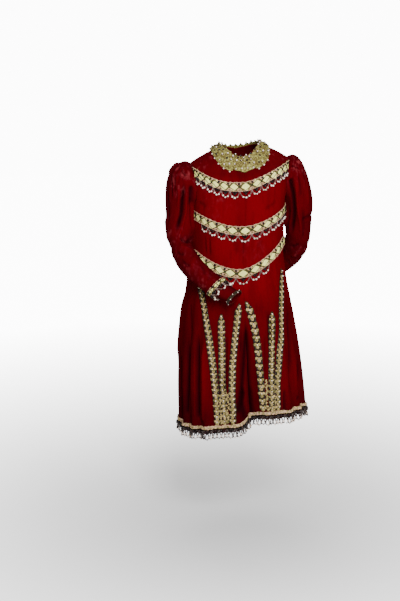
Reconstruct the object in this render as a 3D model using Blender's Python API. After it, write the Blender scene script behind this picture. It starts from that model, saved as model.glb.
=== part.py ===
"""Clown's stage coat: knee-length velvet coat-dress with leg-of-mutton sleeves and braid.

The coat hangs on its wearer's shoulders. The origin lies between the shoulders, at the height
of the sides of the neck. +Z is up, the front faces -Y and the wearer's left is +X.
Angles round the body are in degrees from centre front, positive towards the wearer's left.
A level is the height that a row of the cloth has at the centre of the front or back.
"""
import math
from collections import namedtuple

import bmesh
import bpy
import numpy as np

MM = 0.001

# ---------------------------------------------------------------- cloth and trim
VELVET = 2.0 * MM               # wall of the pile velvet
SEAM = 0.3 * MM                 # clearance between pieces that are sewn together
BRAID = 1.6 * MM                # thickness of the braid
STRIPE_WIDTH = 27 * MM
STRIPE_POINT = 30 * MM          # length of the pointed top of a stripe
STRIPE_START = -450 * MM        # level from which the stripes' course is reckoned
HEM_BAND = 19 * MM              # height of the hem band
HEM_BELOW_BAND = 11 * MM        # velvet that shows below the hem band
GIMP = 3.0 * MM                 # thickness of the ring collar
COLLAR_LIFT = 2.0 * MM          # the stiff gimp bridges the small bends of the velvet
SNAP = 0.4 * MM                 # a cut this close to a corner of the cloth goes through it

# ---------------------------------------------------------------- bead loops
LOOP_DROP = 26 * MM             # how far a loop hangs
LOOP_STRAND = 4.0 * MM          # thickness of the strung beads
LOOP_FLOAT = 1.0 * MM           # distance of a loop's bottom from the velvet
LOOP_CORNER = 0.24              # share of a loop's width where its bottom begins
LOOP_INSIDE = 0.6               # width of a strand at the corner, in strands
ROOT_INSET = 3.2 * MM           # from the end of a loop to the middle of its strand's root
CORNER_GAP = 0.6 * MM           # least distance of a root from a corner of the cloth
SWAG_LOOP_COLUMNS = 2.6         # columns of the cloth that a loop of a swag spans
CUFF_LOOPS = 8

# ---------------------------------------------------------------- the body
ROUNDNESS = 0.87                # exponent of the sections; 1 is an ellipse, less is squarer
COLUMNS = 18                    # columns of the cloth in each quarter of the body
HEM_LOOPS = 2 * COLUMNS        # two columns each, so that no strand crosses a fold
NECK_HALF = 68 * MM             # half the width of the neck opening
NECK_ROWS = 2                   # rows from the shoulder ridge to the bottom of the neckline
ARMHOLE_ROWS = 8                # rows from the shoulder ridge to the underarm
ARMHOLE_TOP = -30 * MM
ARMHOLE_BOTTOM = -197 * MM
ARMHOLE_HALF = 55 * MM          # half the armhole's width, front to back
WAIST = -500 * MM               # level from which the skirt's rows run down to the hem line
HEM = -955 * MM                 # level of the hem band's upper edge
HEM_FLARE = 0.1                 # how much the cloth widens per unit of drop below the hem band
FOLD_ONSET = 0.8                # how suddenly the folds open below their tops; 1 is gently

# Millimetres. front, side and back are the heights of a row at centre front, side and centre
# back, then come half the width, the depth to front and to back, and the sideways shift.
# The sweeps say how late a row turns up towards its side: 2 is a parabola. left_rise is how
# much higher the row ends on the wearer's left.
Section = namedtuple("Section", "front side back half_width front_depth back_depth shift "
                     "right_sweep left_sweep left_rise", defaults=(2.0, 2.0, 0))
SECTIONS = (
    Section(33, -30, 33, 180, 0, 0, 0),             # shoulder ridge
    Section(10, -30.4, 22, 181, 46, 42, 0),
    Section(-22, -31.4, 8, 182, 66, 62, 0),         # neckline at the centre front
    Section(-62, -33.4, -28, 182, 97, 96, 0, 2.3, 1.7),
    Section(-101, -37, -66, 181, 111, 113, 0, 2.6, 1.3),    # upper edge of the top swag
    Section(-133, -62, -100, 180, 117, 120, 0, 2.6, 1.3),   # its lower edge
    Section(-175, -106, -145, 178, 122, 125, 0, 2.3, 1.5),
    Section(-215, -152, -185, 175, 125, 126, 0, 2.0, 1.7),
    Section(-257, -197, -225, 172, 126, 125, -2, 2.0, 1.7),     # underarm, top of the middle swag
    Section(-289, -229, -257, 169, 126, 123, -4, 2.0, 1.7),     # its lower edge
    Section(-350, -280, -309, 165, 125, 120, -8, 2.0, 1.6, 8),
    Section(-412, -333, -360, 168, 126, 121, -10, 2.0, 1.5, 16),    # upper edge of the low swag
    Section(-444, -368, -395, 173, 128, 124, -10, 2.0, 1.5, 16),    # its lower edge
    Section(-500, -440, -450, 182, 135, 132, -9, 2.0, 1.8, 8),      # waist
    Section(-570, -520, -530, 194, 146, 145, -5),
    Section(-650, -620, -625, 210, 158, 158, -1),
    Section(-745, -735, -735, 225, 169, 171, 3),
    Section(-850, -850, -850, 232, 177, 181, 10),
    Section(-955, -955, -955, 235, 183, 187, 17),   # upper edge of the hem band
)

# The hem hangs lower on the wearer's right; the step in it hides in the centre pleat.
HemPoint = namedtuple("HemPoint", "angle height")
HEM_LINE = (
    HemPoint(-180, -985), HemPoint(-135, -998), HemPoint(-90, -1006), HemPoint(-45, -993),
    HemPoint(-20, -980), HemPoint(-3, -972), HemPoint(3, -933), HemPoint(25, -940),
    HemPoint(60, -938), HemPoint(90, -956), HemPoint(135, -972), HemPoint(180, -985),
)

# The coat is drawn up on the wearer's left: rise per unit of width at the shoulder.
LEAN = 0.053

# depth is how far a fold stands out (or in, below zero) at the hem, in millimetres;
# top is the level where it starts.
Fold = namedtuple("Fold", "angle half_width depth top")
FOLDS = (
    Fold(0, 5.5, -38, -530),        # inverted pleat at the centre front
    Fold(-13, 5.0, 7, -560), Fold(11, 5.0, 7, -560),
    Fold(-20, 3.0, -9, -600), Fold(17, 3.0, -8, -620),
    Fold(-31, 3.5, -8, -520), Fold(-41, 4.5, 13, -480), Fold(-49, 4.0, -17, -470),
    Fold(-57, 4.5, 14, -460), Fold(-66, 4.0, -18, -450), Fold(-76, 5.5, 6, -450),
    Fold(-87, 5.0, -15, -470), Fold(26, 3.5, -10, -560), Fold(36, 4.0, 12, -520),
    Fold(44, 4.0, -14, -500), Fold(52, 4.5, 13, -480), Fold(61, 4.5, -18, -460),
    Fold(72, 6.0, 12, -460), Fold(84, 4.5, -17, -480), Fold(94, 5.5, 12, -520),
    Fold(105, 5.0, -15, -500), Fold(116, 5.0, 13, -560), Fold(127, 4.5, -12, -520),
    Fold(137, 5.0, 14, -500), Fold(149, 5.0, -16, -480), Fold(160, 4.5, 11, -540),
    Fold(170, 4.5, -10, -560), Fold(180, 5.0, 9, -520), Fold(-170, 4.5, -12, -500),
    Fold(-160, 5.5, 14, -480), Fold(-149, 5.0, -15, -500), Fold(-138, 5.0, 12, -540),
    Fold(-127, 4.5, -13, -520), Fold(-117, 5.0, 15, -480), Fold(-106, 5.0, -14, -500),
    Fold(-97, 4.5, 12, -500),
)

# ---------------------------------------------------------------- braid on the body
# first_loop is the column where the row of loops starts; the worn ends have lost theirs.
Swag = namedtuple("Swag", "name top_row first_loop loops")
SWAGS = (
    Swag("swag_top", 4, 1.1, 13), Swag("swag_middle", 8, 6.3, 11), Swag("swag_low", 11, 11.5, 5),
)

# top is the level of a stripe's point, start its angle at STRIPE_START and end at the hem;
# the higher the bend, the sooner it turns from the one to the other.
Stripe = namedtuple("Stripe", "name top start end bend")
STRIPES = (
    Stripe("stripe_1", -462, -63, -29.0, 3.0),
    Stripe("stripe_2", -572, -24, -21.6, 1.9),
    Stripe("stripe_3", -532, 1.0, -14.6, 2.1),
    Stripe("stripe_4", -527, -8.0, 8.6, 5.0),
    Stripe("stripe_5", -588, 36, 15.6, 1.6),
    Stripe("stripe_6", -484, 60, 22.8, 1.9),
)

# ---------------------------------------------------------------- collar, in plan
CollarRing = namedtuple("CollarRing", "half_width front back crown rise")
COLLAR_RINGS = (
    CollarRing(69, 67, 63, 0.0, 7), CollarRing(80, 77, 73, 1.6, 4),
    CollarRing(95, 89, 84, 1.6, 1.5), CollarRing(110, 101, 95, 0.0, 0.6),
)
COLLAR_COLUMNS = 44
COLLAR_SCALLOP = 3.0 * MM       # every other point of the outer edge stands in by this
SHARP_EDGE = 50                 # degrees between faces from which an edge is shaded sharp

# ---------------------------------------------------------------- sleeves
SLEEVE_COLUMNS = 4 * ARMHOLE_ROWS
GATHERED = (7, 25)              # columns between which the sleeve head is gathered

# Millimetres. outer and inner are opposite points of a ring of the sleeve, on the outside of
# the arm and on its inside; x is outward from the body. half is half the ring's other
# width, gather the depth of the gathers and even tells how evenly the columns are spread.
SleeveRing = namedtuple("SleeveRing", "outer inner half gather even")
RIGHT_SLEEVE = (
    SleeveRing((195, 0, -29), (182, 0, -199), 62, 3.0, 0.15),
    SleeveRing((224, 0, -38), (183, 0, -209), 68, 6.0, 0.45),
    SleeveRing((253, 0, -62), (182, 0, -222), 68, 7.0, 0.8),
    SleeveRing((270, 0, -106), (180, 0, -238), 63, 5.0, 1.0),
    SleeveRing((273, -2, -175), (179, -2, -262), 56, 0.0, 1.0),
    SleeveRing((270, -5, -250), (180, -8, -285), 50, 0.0, 1.0),
    SleeveRing((264, -12, -325), (190, -34, -304), 45, 0.0, 1.0),
    SleeveRing((245, -39, -387), (196, -87, -327), 41, 0.0, 1.0),
    SleeveRing((212, -96, -438), (181, -132, -363), 39, 0.0, 1.0),
    SleeveRing((177, -137, -467), (139, -165, -404), 39, 0.0, 1.0),
    SleeveRing((144, -164, -490), (97, -182, -433), 39, 0.0, 1.0),
    SleeveRing((131, -178, -499), (82, -190, -445), 38.5, 0.0, 1.0),
)
LEFT_SLEEVE = (
    SleeveRing((187, 0, -16), (182, 0, -199), 63, 3.5, 0.15),
    SleeveRing((211, 0, -10), (184, 0, -208), 70, 7.0, 0.45),
    SleeveRing((239, 2, -42), (184, 0, -220), 71, 8.0, 0.8),
    SleeveRing((262, 6, -104), (184, 2, -236), 66, 5.5, 1.0),
    SleeveRing((284, 14, -182), (183, 8, -262), 59, 0.0, 1.0),
    SleeveRing((279, 22, -262), (183, 14, -288), 53, 0.0, 1.0),
    SleeveRing((284, 36, -333), (190, 34, -318), 47, 0.0, 1.0),
    SleeveRing((278, 70, -402), (200, 70, -346), 44, 0.0, 1.0),
    SleeveRing((238, 124, -462), (197, 116, -382), 42, 0.0, 1.0),
    SleeveRing((193, 162, -498), (165, 150, -424), 40, 0.0, 1.0),
    SleeveRing((148, 178, -522), (124, 168, -450), 39, 0.0, 1.0),
    SleeveRing((131, 182, -529), (108, 174, -458), 38.5, 0.0, 1.0),
)
# Rings of the under-cuff beyond the sleeve's end: share of the sleeve's last ring and distance.
UndercuffRing = namedtuple("UndercuffRing", "share distance")
UNDERCUFF_RINGS = (
    UndercuffRing(0.935, -12), UndercuffRing(0.84, 24),
    UndercuffRing(0.80, 54), UndercuffRing(0.79, 66),
)
UNDERCUFF_LENGTH = UNDERCUFF_RINGS[-1].distance
# Where the wrist end has moved from the sleeve's own line, by side of the body.
UNDERCUFF_TURN = {-1: (0.008, 0.012, 0.004), 1: (-0.012, -0.006, 0.0)}

Sheet = namedtuple("Sheet", "points normals closed")


# ---------------------------------------------------------------- small helpers
def clear_scene():
    for thing in list(bpy.data.objects):
        bpy.data.objects.remove(thing, do_unlink=True)


def make_material(name, colour, roughness, metallic=0.0):
    material = bpy.data.materials.new(name)
    material.use_nodes = True
    shader = material.node_tree.nodes["Principled BSDF"]
    shader.inputs["Base Color"].default_value = (*colour, 1.0)
    shader.inputs["Roughness"].default_value = roughness
    shader.inputs["Metallic"].default_value = metallic
    return material


def unit(vectors):
    """Unit vectors along the last axis."""
    length = np.linalg.norm(vectors, axis=-1, keepdims=True)
    return vectors / np.maximum(length, 1e-12)


def signed_power(value, exponent):
    return math.copysign(abs(value) ** exponent, value)


def ease(value):
    value = min(max(value, 0.0), 1.0)
    return value * value * (3 - 2 * value)


def add_object(name, bm, material):
    bmesh.ops.triangulate(bm, faces=bm.faces)
    mesh = bpy.data.meshes.new(name)
    bm.to_mesh(mesh)
    bm.free()
    mesh.shade_smooth()
    mesh.set_sharp_from_angle(angle=math.radians(SHARP_EDGE))
    mesh.materials.append(material)
    thing = bpy.data.objects.new(name, mesh)
    bpy.context.collection.objects.link(thing)
    return thing


# ---------------------------------------------------------------- shape of the body
def hem_height(angle):
    angles = [point.angle for point in HEM_LINE]
    heights = [point.height * MM for point in HEM_LINE]
    return float(np.interp(angle, angles, heights))


def fold_depth(angle, level):
    """How far the folds move the cloth outward at this angle and level."""
    total = 0.0
    for fold in FOLDS:
        turn = (angle - fold.angle + 180) % 360 - 180
        growth = ease((fold.top * MM - level) / (fold.top * MM - HEM)) ** FOLD_ONSET
        total += fold.depth * MM * growth * math.exp(-(turn / fold.half_width) ** 2)
    return total


def body_point(angle, section, level):
    """A point of the velvet's outer face; section is in millimetres, level in metres."""
    sine = math.sin(math.radians(angle))
    cosine = math.cos(math.radians(angle))
    across = signed_power(sine, ROUNDNESS)
    along = signed_power(cosine, ROUNDNESS)
    in_front = abs(angle) <= 90
    depth = (section.front_depth if in_front else section.back_depth) * MM
    middle = (section.front if in_front else section.back) * MM
    fold = fold_depth(angle, level)
    x = section.shift * MM + (section.half_width * MM + fold) * across
    y = -(depth + fold) * along
    side, sweep = section.side, section.right_sweep
    if across > 0:
        side, sweep = section.side + section.left_rise, section.left_sweep
    z = middle + (side * MM - middle) * abs(across) ** sweep + LEAN * x
    return np.array((x, y, z))


def lowered(point, angle, level):
    """Move a skirt point down so that the rows end along the hem line."""
    share = (WAIST - level) / (WAIST - HEM)
    if share > 0:
        point[2] += (hem_height(angle) - (HEM + LEAN * point[0])) * min(share, 1.0)
    return point


def body_rows():
    """Section and level of each row of the cloth, from the shoulder ridge to the hem's edge."""
    rows = [(section, section.front * MM) for section in SECTIONS]
    last = SECTIONS[-1]
    for drop in (HEM_BAND, HEM_BAND + HEM_BELOW_BAND):
        shift = drop / MM
        flare = shift * HEM_FLARE
        lower = last._replace(front=last.front - shift, side=last.side - shift,
                              back=last.back - shift, half_width=last.half_width + flare,
                              front_depth=last.front_depth + flare,
                              back_depth=last.back_depth + flare)
        rows.append((lower, HEM - drop))
    return rows


def edge_angles(section, row, depth):
    """First and last angle of a row on one quarter: neckline or centre, armhole or side."""
    first, last = 0.0, 90.0
    if row <= NECK_ROWS:
        inward = NECK_HALF * math.cos(math.radians(90 * row / NECK_ROWS))
        first = math.degrees(math.asin((inward / (section.half_width * MM)) ** (1 / ROUNDNESS)))
    if 0 < row < ARMHOLE_ROWS:
        middle = (ARMHOLE_TOP + ARMHOLE_BOTTOM) / 2
        height = (section.side * MM - middle) / (ARMHOLE_TOP - middle)
        forward = ARMHOLE_HALF * math.sqrt(max(1 - height ** 2, 0.0))
        last = math.degrees(math.acos((forward / (depth * MM)) ** (1 / ROUNDNESS)))
    return first, last


def body_grid(facing, side):
    """Points of the front (facing 1) or back (facing -1), from the right side to the left.

    Above the neckline's bottom the middle column follows the neckline on the given side."""
    grid = []
    for row, (section, level) in enumerate(body_rows()):
        depth = section.front_depth if facing == 1 else section.back_depth
        first, last = edge_angles(section, row, depth)
        line = []
        for column in range(-COLUMNS, COLUMNS + 1):
            turn = first + (last - first) * abs(column) / COLUMNS
            angle = math.copysign(turn if facing == 1 else 180 - turn, column or side)
            line.append(lowered(body_point(angle, section, level), angle, level))
        grid.append(line)
    return np.array(grid)


def body_normals(front, back):
    """Outward normals of both grids; they agree along every seam between the two."""
    found = []
    for grid, other, facing in ((front, back, 1), (back, front, -1)):
        down = np.gradient(grid, axis=0)
        down[0] = grid[1] - other[1]
        across = np.gradient(grid, axis=1)
        for row in range(ARMHOLE_ROWS, len(grid)):
            across[row, 0] = grid[row, 1] - other[row, 1]
            across[row, -1] = other[row, -2] - grid[row, -2]
        across[0] = grid[0, -1] - grid[0, 0]
        found.append(unit(np.cross(across, down)) * -facing)
    return found


def body_sheets(side):
    """Front and back at full width; only one side's half has a true neckline."""
    grids = body_grid(1, side), body_grid(-1, side)
    return [Sheet(grid, normals, False) for grid, normals in zip(grids, body_normals(*grids))]


# ---------------------------------------------------------------- walls
def quad_triangles(a, b, c, d):
    return (a, b, c), (a, c, d)


def cells(rows, columns, closed):
    """Corner indices of each cell of a grid: (row, column) pairs, always in the same order."""
    for row in range(rows - 1):
        for column in range(columns if closed else columns - 1):
            right = (column + 1) % columns
            yield (row, column), (row + 1, column), (row + 1, right), (row, right)


def wall(name, outer, inner, closed, material):
    """Closed solid between two grids of points; closed joins the last column to the first."""
    rows, columns = outer.shape[:2]
    bm = bmesh.new()
    outside = [[bm.verts.new(point) for point in line] for line in outer]
    inside = [[bm.verts.new(point) for point in line] for line in inner]
    for corners in cells(rows, columns, closed):
        for triangle in quad_triangles(*corners):
            bm.faces.new([outside[row][column] for row, column in triangle])
            bm.faces.new([inside[row][column] for row, column in reversed(triangle)])
    for column in range(columns if closed else columns - 1):
        right = (column + 1) % columns
        bm.faces.new((outside[0][column], outside[0][right], inside[0][right], inside[0][column]))
        bm.faces.new((inside[-1][column], inside[-1][right],
                      outside[-1][right], outside[-1][column]))
    if not closed:
        for row in range(rows - 1):
            bm.faces.new((inside[row][0], inside[row + 1][0],
                          outside[row + 1][0], outside[row][0]))
            bm.faces.new((outside[row][-1], outside[row + 1][-1],
                          inside[row + 1][-1], inside[row][-1]))
    bmesh.ops.recalc_face_normals(bm, faces=bm.faces)
    return add_object(name, bm, material)


def panel(name, sheet, material):
    """Wall of velvet, drawn in by half a seam's clearance at both sides and at the shoulder."""
    grid = sheet.points
    points = grid.copy()
    points[:, 0] += unit(grid[:, 1] - grid[:, 0]) * SEAM / 2
    points[:, -1] += unit(grid[:, -2] - grid[:, -1]) * SEAM / 2
    points[0] += unit(grid[1] - grid[0]) * SEAM / 2
    return wall(name, points, points - sheet.normals * VELVET, False, material)


# ---------------------------------------------------------------- braid
def clip(polygon, field):
    """The part of a polygon where its numbered field isn't below zero."""
    kept = []
    for index, here in enumerate(polygon):
        ahead = polygon[(index + 1) % len(polygon)]
        if here[field] >= 0:
            kept.append(here)
        if here[field] * ahead[field] < 0:
            share = here[field] / (here[field] - ahead[field])
            kept.append(here + (ahead - here) * share)
    return kept


def cut_patch(sheet, fields):
    """Corners, normals and polygons of a sheet where every field is above zero."""
    settled = [np.where(np.abs(field) < SNAP, 0.0, field) for field in fields]
    data = np.concatenate([np.stack(settled, axis=-1), sheet.points, sheet.normals], axis=-1)
    corners, lookup, polygons = [], {}, []
    rows, columns = sheet.points.shape[:2]
    for cell in cells(rows, columns, sheet.closed):
        for triangle in quad_triangles(*cell):
            polygon = [data[row, column] for row, column in triangle]
            for field in range(len(fields)):
                polygon = clip(polygon, field)
            indices = []
            for corner in polygon:
                place = corner[len(fields):]
                key = tuple(np.round(place[:3] / MM, 3))
                if key not in lookup:
                    lookup[key] = len(corners)
                    corners.append(place)
                if lookup[key] not in indices:
                    indices.append(lookup[key])
            if len(indices) > 2:
                polygons.append(indices)
    corners = np.array(corners)
    return corners[:, :3], corners[:, 3:], polygons


def braid_solid(points, normals, polygons, thickness=BRAID, lift=SEAM, open_edges=()):
    """Solid of even thickness over polygons of the cloth; open_edges get no side face."""
    bm = bmesh.new()
    under = [bm.verts.new(point) for point in points + normals * lift]
    over = [bm.verts.new(point) for point in points + normals * (lift + thickness)]
    edges = set()
    for polygon in polygons:
        bm.faces.new([over[index] for index in polygon])
        bm.faces.new([under[index] for index in reversed(polygon)])
        edges.update(zip(polygon, polygon[1:] + polygon[:1]))
    for start, end in edges:
        if (end, start) not in edges and (start, end) not in open_edges:
            bm.faces.new((over[end], over[start], under[start], under[end]))
    return bm, under, over


def lie_on(sheet, row, column, drop, lift):
    """Point of a sheet below (row, column) by drop, along the cloth, lifted off it."""
    columns = sheet.points.shape[1]
    left = math.floor(column)
    share = column - left
    right = (left + 1) % columns if sheet.closed else min(left + 1, columns - 1)
    left = left % columns
    line = sheet.points[:, left] * (1 - share) + sheet.points[:, right] * share
    normals = sheet.normals[:, left] * (1 - share) + sheet.normals[:, right] * share
    while row < len(line) - 2 and drop > np.linalg.norm(line[row + 1] - line[row]):
        drop -= np.linalg.norm(line[row + 1] - line[row])
        row += 1
    start = min(row, len(line) - 2)
    step = line[start + 1] - line[start]
    length = np.linalg.norm(step)
    part = drop / length + row - start
    normal = normals[start] * (1 - min(part, 1)) + normals[start + 1] * min(part, 1)
    return line[start] + step * part + normal * lift


def hang_loop(bm, sheet, row, ends, roots):
    """One loop of strung beads between two columns; roots are its open ends in the braid."""
    span = np.linalg.norm(lie_on(sheet, row, ends[1], 0, 0) - lie_on(sheet, row, ends[0], 0, 0))
    strand = LOOP_STRAND / span * (ends[1] - ends[0])
    rings = []
    for share, inward in ((LOOP_CORNER, 1), (1 - LOOP_CORNER, -1)):
        corner = ends[0] + (ends[1] - ends[0]) * share
        outside = (corner, LOOP_DROP)
        inside = (corner + inward * strand * LOOP_INSIDE, LOOP_DROP - LOOP_STRAND)
        rings.append([bm.verts.new(lie_on(sheet, row, column, drop, lift))
                      for column, drop in (outside, inside)
                      for lift in (LOOP_FLOAT, LOOP_FLOAT + LOOP_STRAND)])
    (first_out, first_in), (last_in, last_out) = roots
    path = ((*first_out, *first_in), rings[0], rings[1], (*last_out, *last_in))
    for here, ahead in zip(path, path[1:]):
        for a, b in ((0, 1), (1, 3), (3, 2), (2, 0)):
            bm.faces.new((here[a], here[b], ahead[b], ahead[a]))


def root_places(sheet, row, column, spans):
    """Where the strands' roots lie on one cell's lower edge: (column of root, start, end)."""
    count = sheet.points.shape[1]
    start, end = sheet.points[row, column % count], sheet.points[row, (column + 1) % count]
    width = np.linalg.norm(end - start)
    half = LOOP_STRAND / 2 / width
    least = half + CORNER_GAP / width
    places = []
    for first, last in spans:
        for side, inset in ((first, ROOT_INSET), (last, -ROOT_INSET)):
            if math.floor(side + inset) == column:
                share = min(max(side - column + inset / width, least), 1 - least)
                places.append(((first, last), share - half, share + half))
    return sorted(places, key=lambda place: place[1])


def braid_row(name, sheet, top_row, columns, material, spans=()):
    """Braid over one row of cells, from top_row down; spans are the loops' ends in columns."""
    count = sheet.points.shape[1]
    points = [sheet.points[top_row + step, column % count]
              for step in (0, 1) for column in columns]
    normals = [sheet.normals[top_row + step, column % count]
               for step in (0, 1) for column in columns]
    total = len(columns)
    roots, polygons, open_edges = {}, [], set()
    for left, column in enumerate(columns if sheet.closed else columns[:-1]):
        right = (left + 1) % total
        start, end = total + left, total + right
        lower = [start]
        for span, near, far in root_places(sheet, top_row + 1, column, spans):
            for share in (near, far):
                lower.append(len(points))
                points.append(points[start] + (points[end] - points[start]) * share)
                normals.append(normals[start] + (normals[end] - normals[start]) * share)
            roots.setdefault(span, []).append(lower[-2:])
            open_edges.add(tuple(lower[-2:]))
        polygons.append([left, *lower, end])
        polygons.append([left, end, right])
    bm, under, over = braid_solid(np.array(points), np.array(normals), polygons,
                                  open_edges=open_edges)
    for span, pairs in roots.items():
        ends = [[(under[index], over[index]) for index in pair] for pair in pairs]
        hang_loop(bm, sheet, top_row + 1, span, ends)
    bmesh.ops.recalc_face_normals(bm, faces=bm.faces)
    return add_object(name, bm, material)


def stripe_braid(stripe, sheet, levels, material):
    """Straight braid down the front of the skirt, with a pointed top."""
    arcs = np.zeros(sheet.points.shape[:2])
    steps = np.linalg.norm(np.diff(sheet.points, axis=1), axis=2)
    arcs[:, 1:] = np.cumsum(steps, axis=1)
    angles = np.linspace(-90, 90, sheet.points.shape[1])
    across = np.zeros_like(arcs)
    for row, level in enumerate(levels):
        share = min(max((level - HEM) / (STRIPE_START - HEM), 0.0), 1.0)
        angle = stripe.end + (stripe.start - stripe.end) * share ** stripe.bend
        across[row] = arcs[row] - np.interp(angle, angles, arcs[row])
    heights = np.repeat(np.array(levels)[:, None], across.shape[1], axis=1)
    half = STRIPE_WIDTH / 2
    point = (stripe.top * MM - heights) * half / STRIPE_POINT
    fields = (half - across, half + across, point - across, point + across,
              heights - HEM - 2 * SEAM)
    bm, _, _ = braid_solid(*cut_patch(sheet, fields))
    bmesh.ops.recalc_face_normals(bm, faces=bm.faces)
    return add_object(stripe.name, bm, material)


# ---------------------------------------------------------------- sleeves
def armhole_loop(front, back, side):
    """Edge of an armhole: points, normals and directions away from the body, from the
    underarm up the front edge, over the shoulder and down the back edge."""
    edge, inner = (-1, -2) if side > 0 else (0, 1)
    parts = []
    for sheet, rows in ((front, range(ARMHOLE_ROWS, 0, -1)), (back, range(ARMHOLE_ROWS))):
        for row in rows:
            point = sheet.points[row, edge]
            away = unit(point - sheet.points[row, inner])
            if row == ARMHOLE_ROWS:
                away = unit(point - sheet.points[row + 1, edge])
            parts.append((point, sheet.normals[row, edge], away))
    doubled = []
    for index, here in enumerate(parts):
        ahead = parts[(index + 1) % len(parts)]
        doubled.append(here)
        doubled.append(((here[0] + ahead[0]) / 2, unit(here[1] + ahead[1]),
                        unit(here[2] + ahead[2])))
    return [np.array(values) for values in zip(*doubled)]


def sleeve_grid(side, rings, start):
    """Outer points of a sleeve, ring by ring from the armhole to the wrist."""
    steps = np.linalg.norm(np.roll(start, -1, axis=0) - start, axis=1)
    seam_angles = 2 * math.pi * (np.cumsum(steps) - steps) / steps.sum()
    even_angles = 2 * math.pi * np.arange(SLEEVE_COLUMNS) / SLEEVE_COLUMNS
    flip = np.array((side, 1, 1)) * MM
    outer = [np.array(ring.outer) * flip for ring in rings]
    inner = [np.array(ring.inner) * flip for ring in rings]
    centres = np.array([start.mean(axis=0)] + [(a + b) / 2 for a, b in zip(outer, inner)])
    course = unit(np.gradient(centres, axis=0))[1:]
    gathered = np.zeros(SLEEVE_COLUMNS)
    for column in range(*GATHERED):
        gathered[column] = 0.5 if column % 2 else -0.5
    grid = [start]
    for ring, far, near, centre, along in zip(rings, outer, inner, centres[1:], course):
        long_half = (far - near) / 2
        forward = -side * unit(np.cross(long_half, along)) * ring.half * MM
        angles = seam_angles * (1 - ring.even) + even_angles * ring.even
        spokes = np.outer(-np.cos(angles), long_half) + np.outer(np.sin(angles), forward)
        spokes += unit(spokes) * gathered[:, None] * ring.gather * MM
        grid.append(centre + spokes)
    return np.array(grid)


def tube_normals(grid, side):
    """Outward normals of a closed tube whose columns run from underarm over the front."""
    down = np.gradient(grid, axis=0)
    around = np.roll(grid, -1, axis=1) - np.roll(grid, 1, axis=1)
    return unit(np.cross(down, around)) * side


def make_sleeve(name, side, rings, front, back, material):
    edge, edge_normals, away = armhole_loop(front, back, side)
    grid = sleeve_grid(side, rings, edge + away * SEAM)
    normals = tube_normals(grid, side)
    inner = grid - normals * VELVET
    facing = np.sum(normals[0] * edge_normals, axis=1, keepdims=True)
    mitre = (normals[0] + edge_normals) / np.maximum(1 + facing, 0.5)
    inner[0] = grid[0] - mitre * VELVET
    wall(name, grid, inner, True, material)
    return Sheet(grid, normals, True)


def make_undercuff(name, side, sleeve, material):
    """Fitted velvet tube that starts inside the sleeve's end and reaches to the wrist."""
    last = sleeve.points[-1, ::2]       # half as many columns as the sleeve
    centre = last.mean(axis=0)
    along = unit(centre - sleeve.points[-2].mean(axis=0))
    grid = []
    for ring in UNDERCUFF_RINGS:
        turn = np.array(UNDERCUFF_TURN[side]) * ease(ring.distance / UNDERCUFF_LENGTH)
        heart = centre + along * ring.distance * MM + turn
        grid.append(heart + (last - centre) * ring.share)
    grid = np.array(grid)
    normals = tube_normals(grid, side)
    wall(name, grid, grid - normals * VELVET, True, material)
    return Sheet(grid, normals, True)


# ---------------------------------------------------------------- collar
def drop_onto(sheets, x, y):
    """Point and normal of the cloth straight below or above (x, y)."""
    best = None
    for sheet in sheets:
        rows, columns = sheet.points.shape[:2]
        for cell in cells(ARMHOLE_ROWS, columns, False):
            for triangle in quad_triangles(*cell):
                a, b, c = (sheet.points[place] for place in triangle)
                area = (b[0] - a[0]) * (c[1] - a[1]) - (b[1] - a[1]) * (c[0] - a[0])
                if abs(area) < 1e-9:
                    continue
                share_b = ((x - a[0]) * (c[1] - a[1]) - (y - a[1]) * (c[0] - a[0])) / area
                share_c = ((b[0] - a[0]) * (y - a[1]) - (b[1] - a[1]) * (x - a[0])) / area
                outside = max(-share_b, -share_c, share_b + share_c - 1, 0.0)
                if best is None or outside < best[0]:
                    shares = (1 - share_b - share_c, share_b, share_c)
                    point = sum(part * corner for part, corner in zip(shares, (a, b, c)))
                    normal = sum(part * sheet.normals[place]
                                 for part, place in zip(shares, triangle))
                    best = (outside, point, unit(normal))
    return best[1], best[2]


def make_collar(sheets, material):
    """Ring of stiff gimp that follows the velvet round the neckline, its outer edge scalloped."""
    under, over = [], []
    for ring in COLLAR_RINGS:
        lower, upper = [], []
        for column in range(COLLAR_COLUMNS):
            angle = 2 * math.pi * column / COLLAR_COLUMNS
            depth = ring.front if math.cos(angle) > 0 else ring.back
            inset = COLLAR_SCALLOP if ring is COLLAR_RINGS[-1] and column % 2 else 0.0
            x = (ring.half_width * MM - inset) * math.sin(angle)
            y = -(depth * MM - inset) * math.cos(angle)
            point, normal = drop_onto(sheets, x, y)
            point[2] += ring.rise * MM
            lower.append(point + normal * COLLAR_LIFT)
            upper.append(point + normal * (COLLAR_LIFT + GIMP + ring.crown * MM))
        under.append(lower)
        over.append(upper)
    return wall("collar", np.array(over), np.array(under), True, material)


# ---------------------------------------------------------------- the coat
def side_by_side(first, step, count):
    """Spans of count loops set side by side, in columns of the cloth."""
    return [(first + step * index, first + step * (index + 1)) for index in range(count)]


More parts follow.
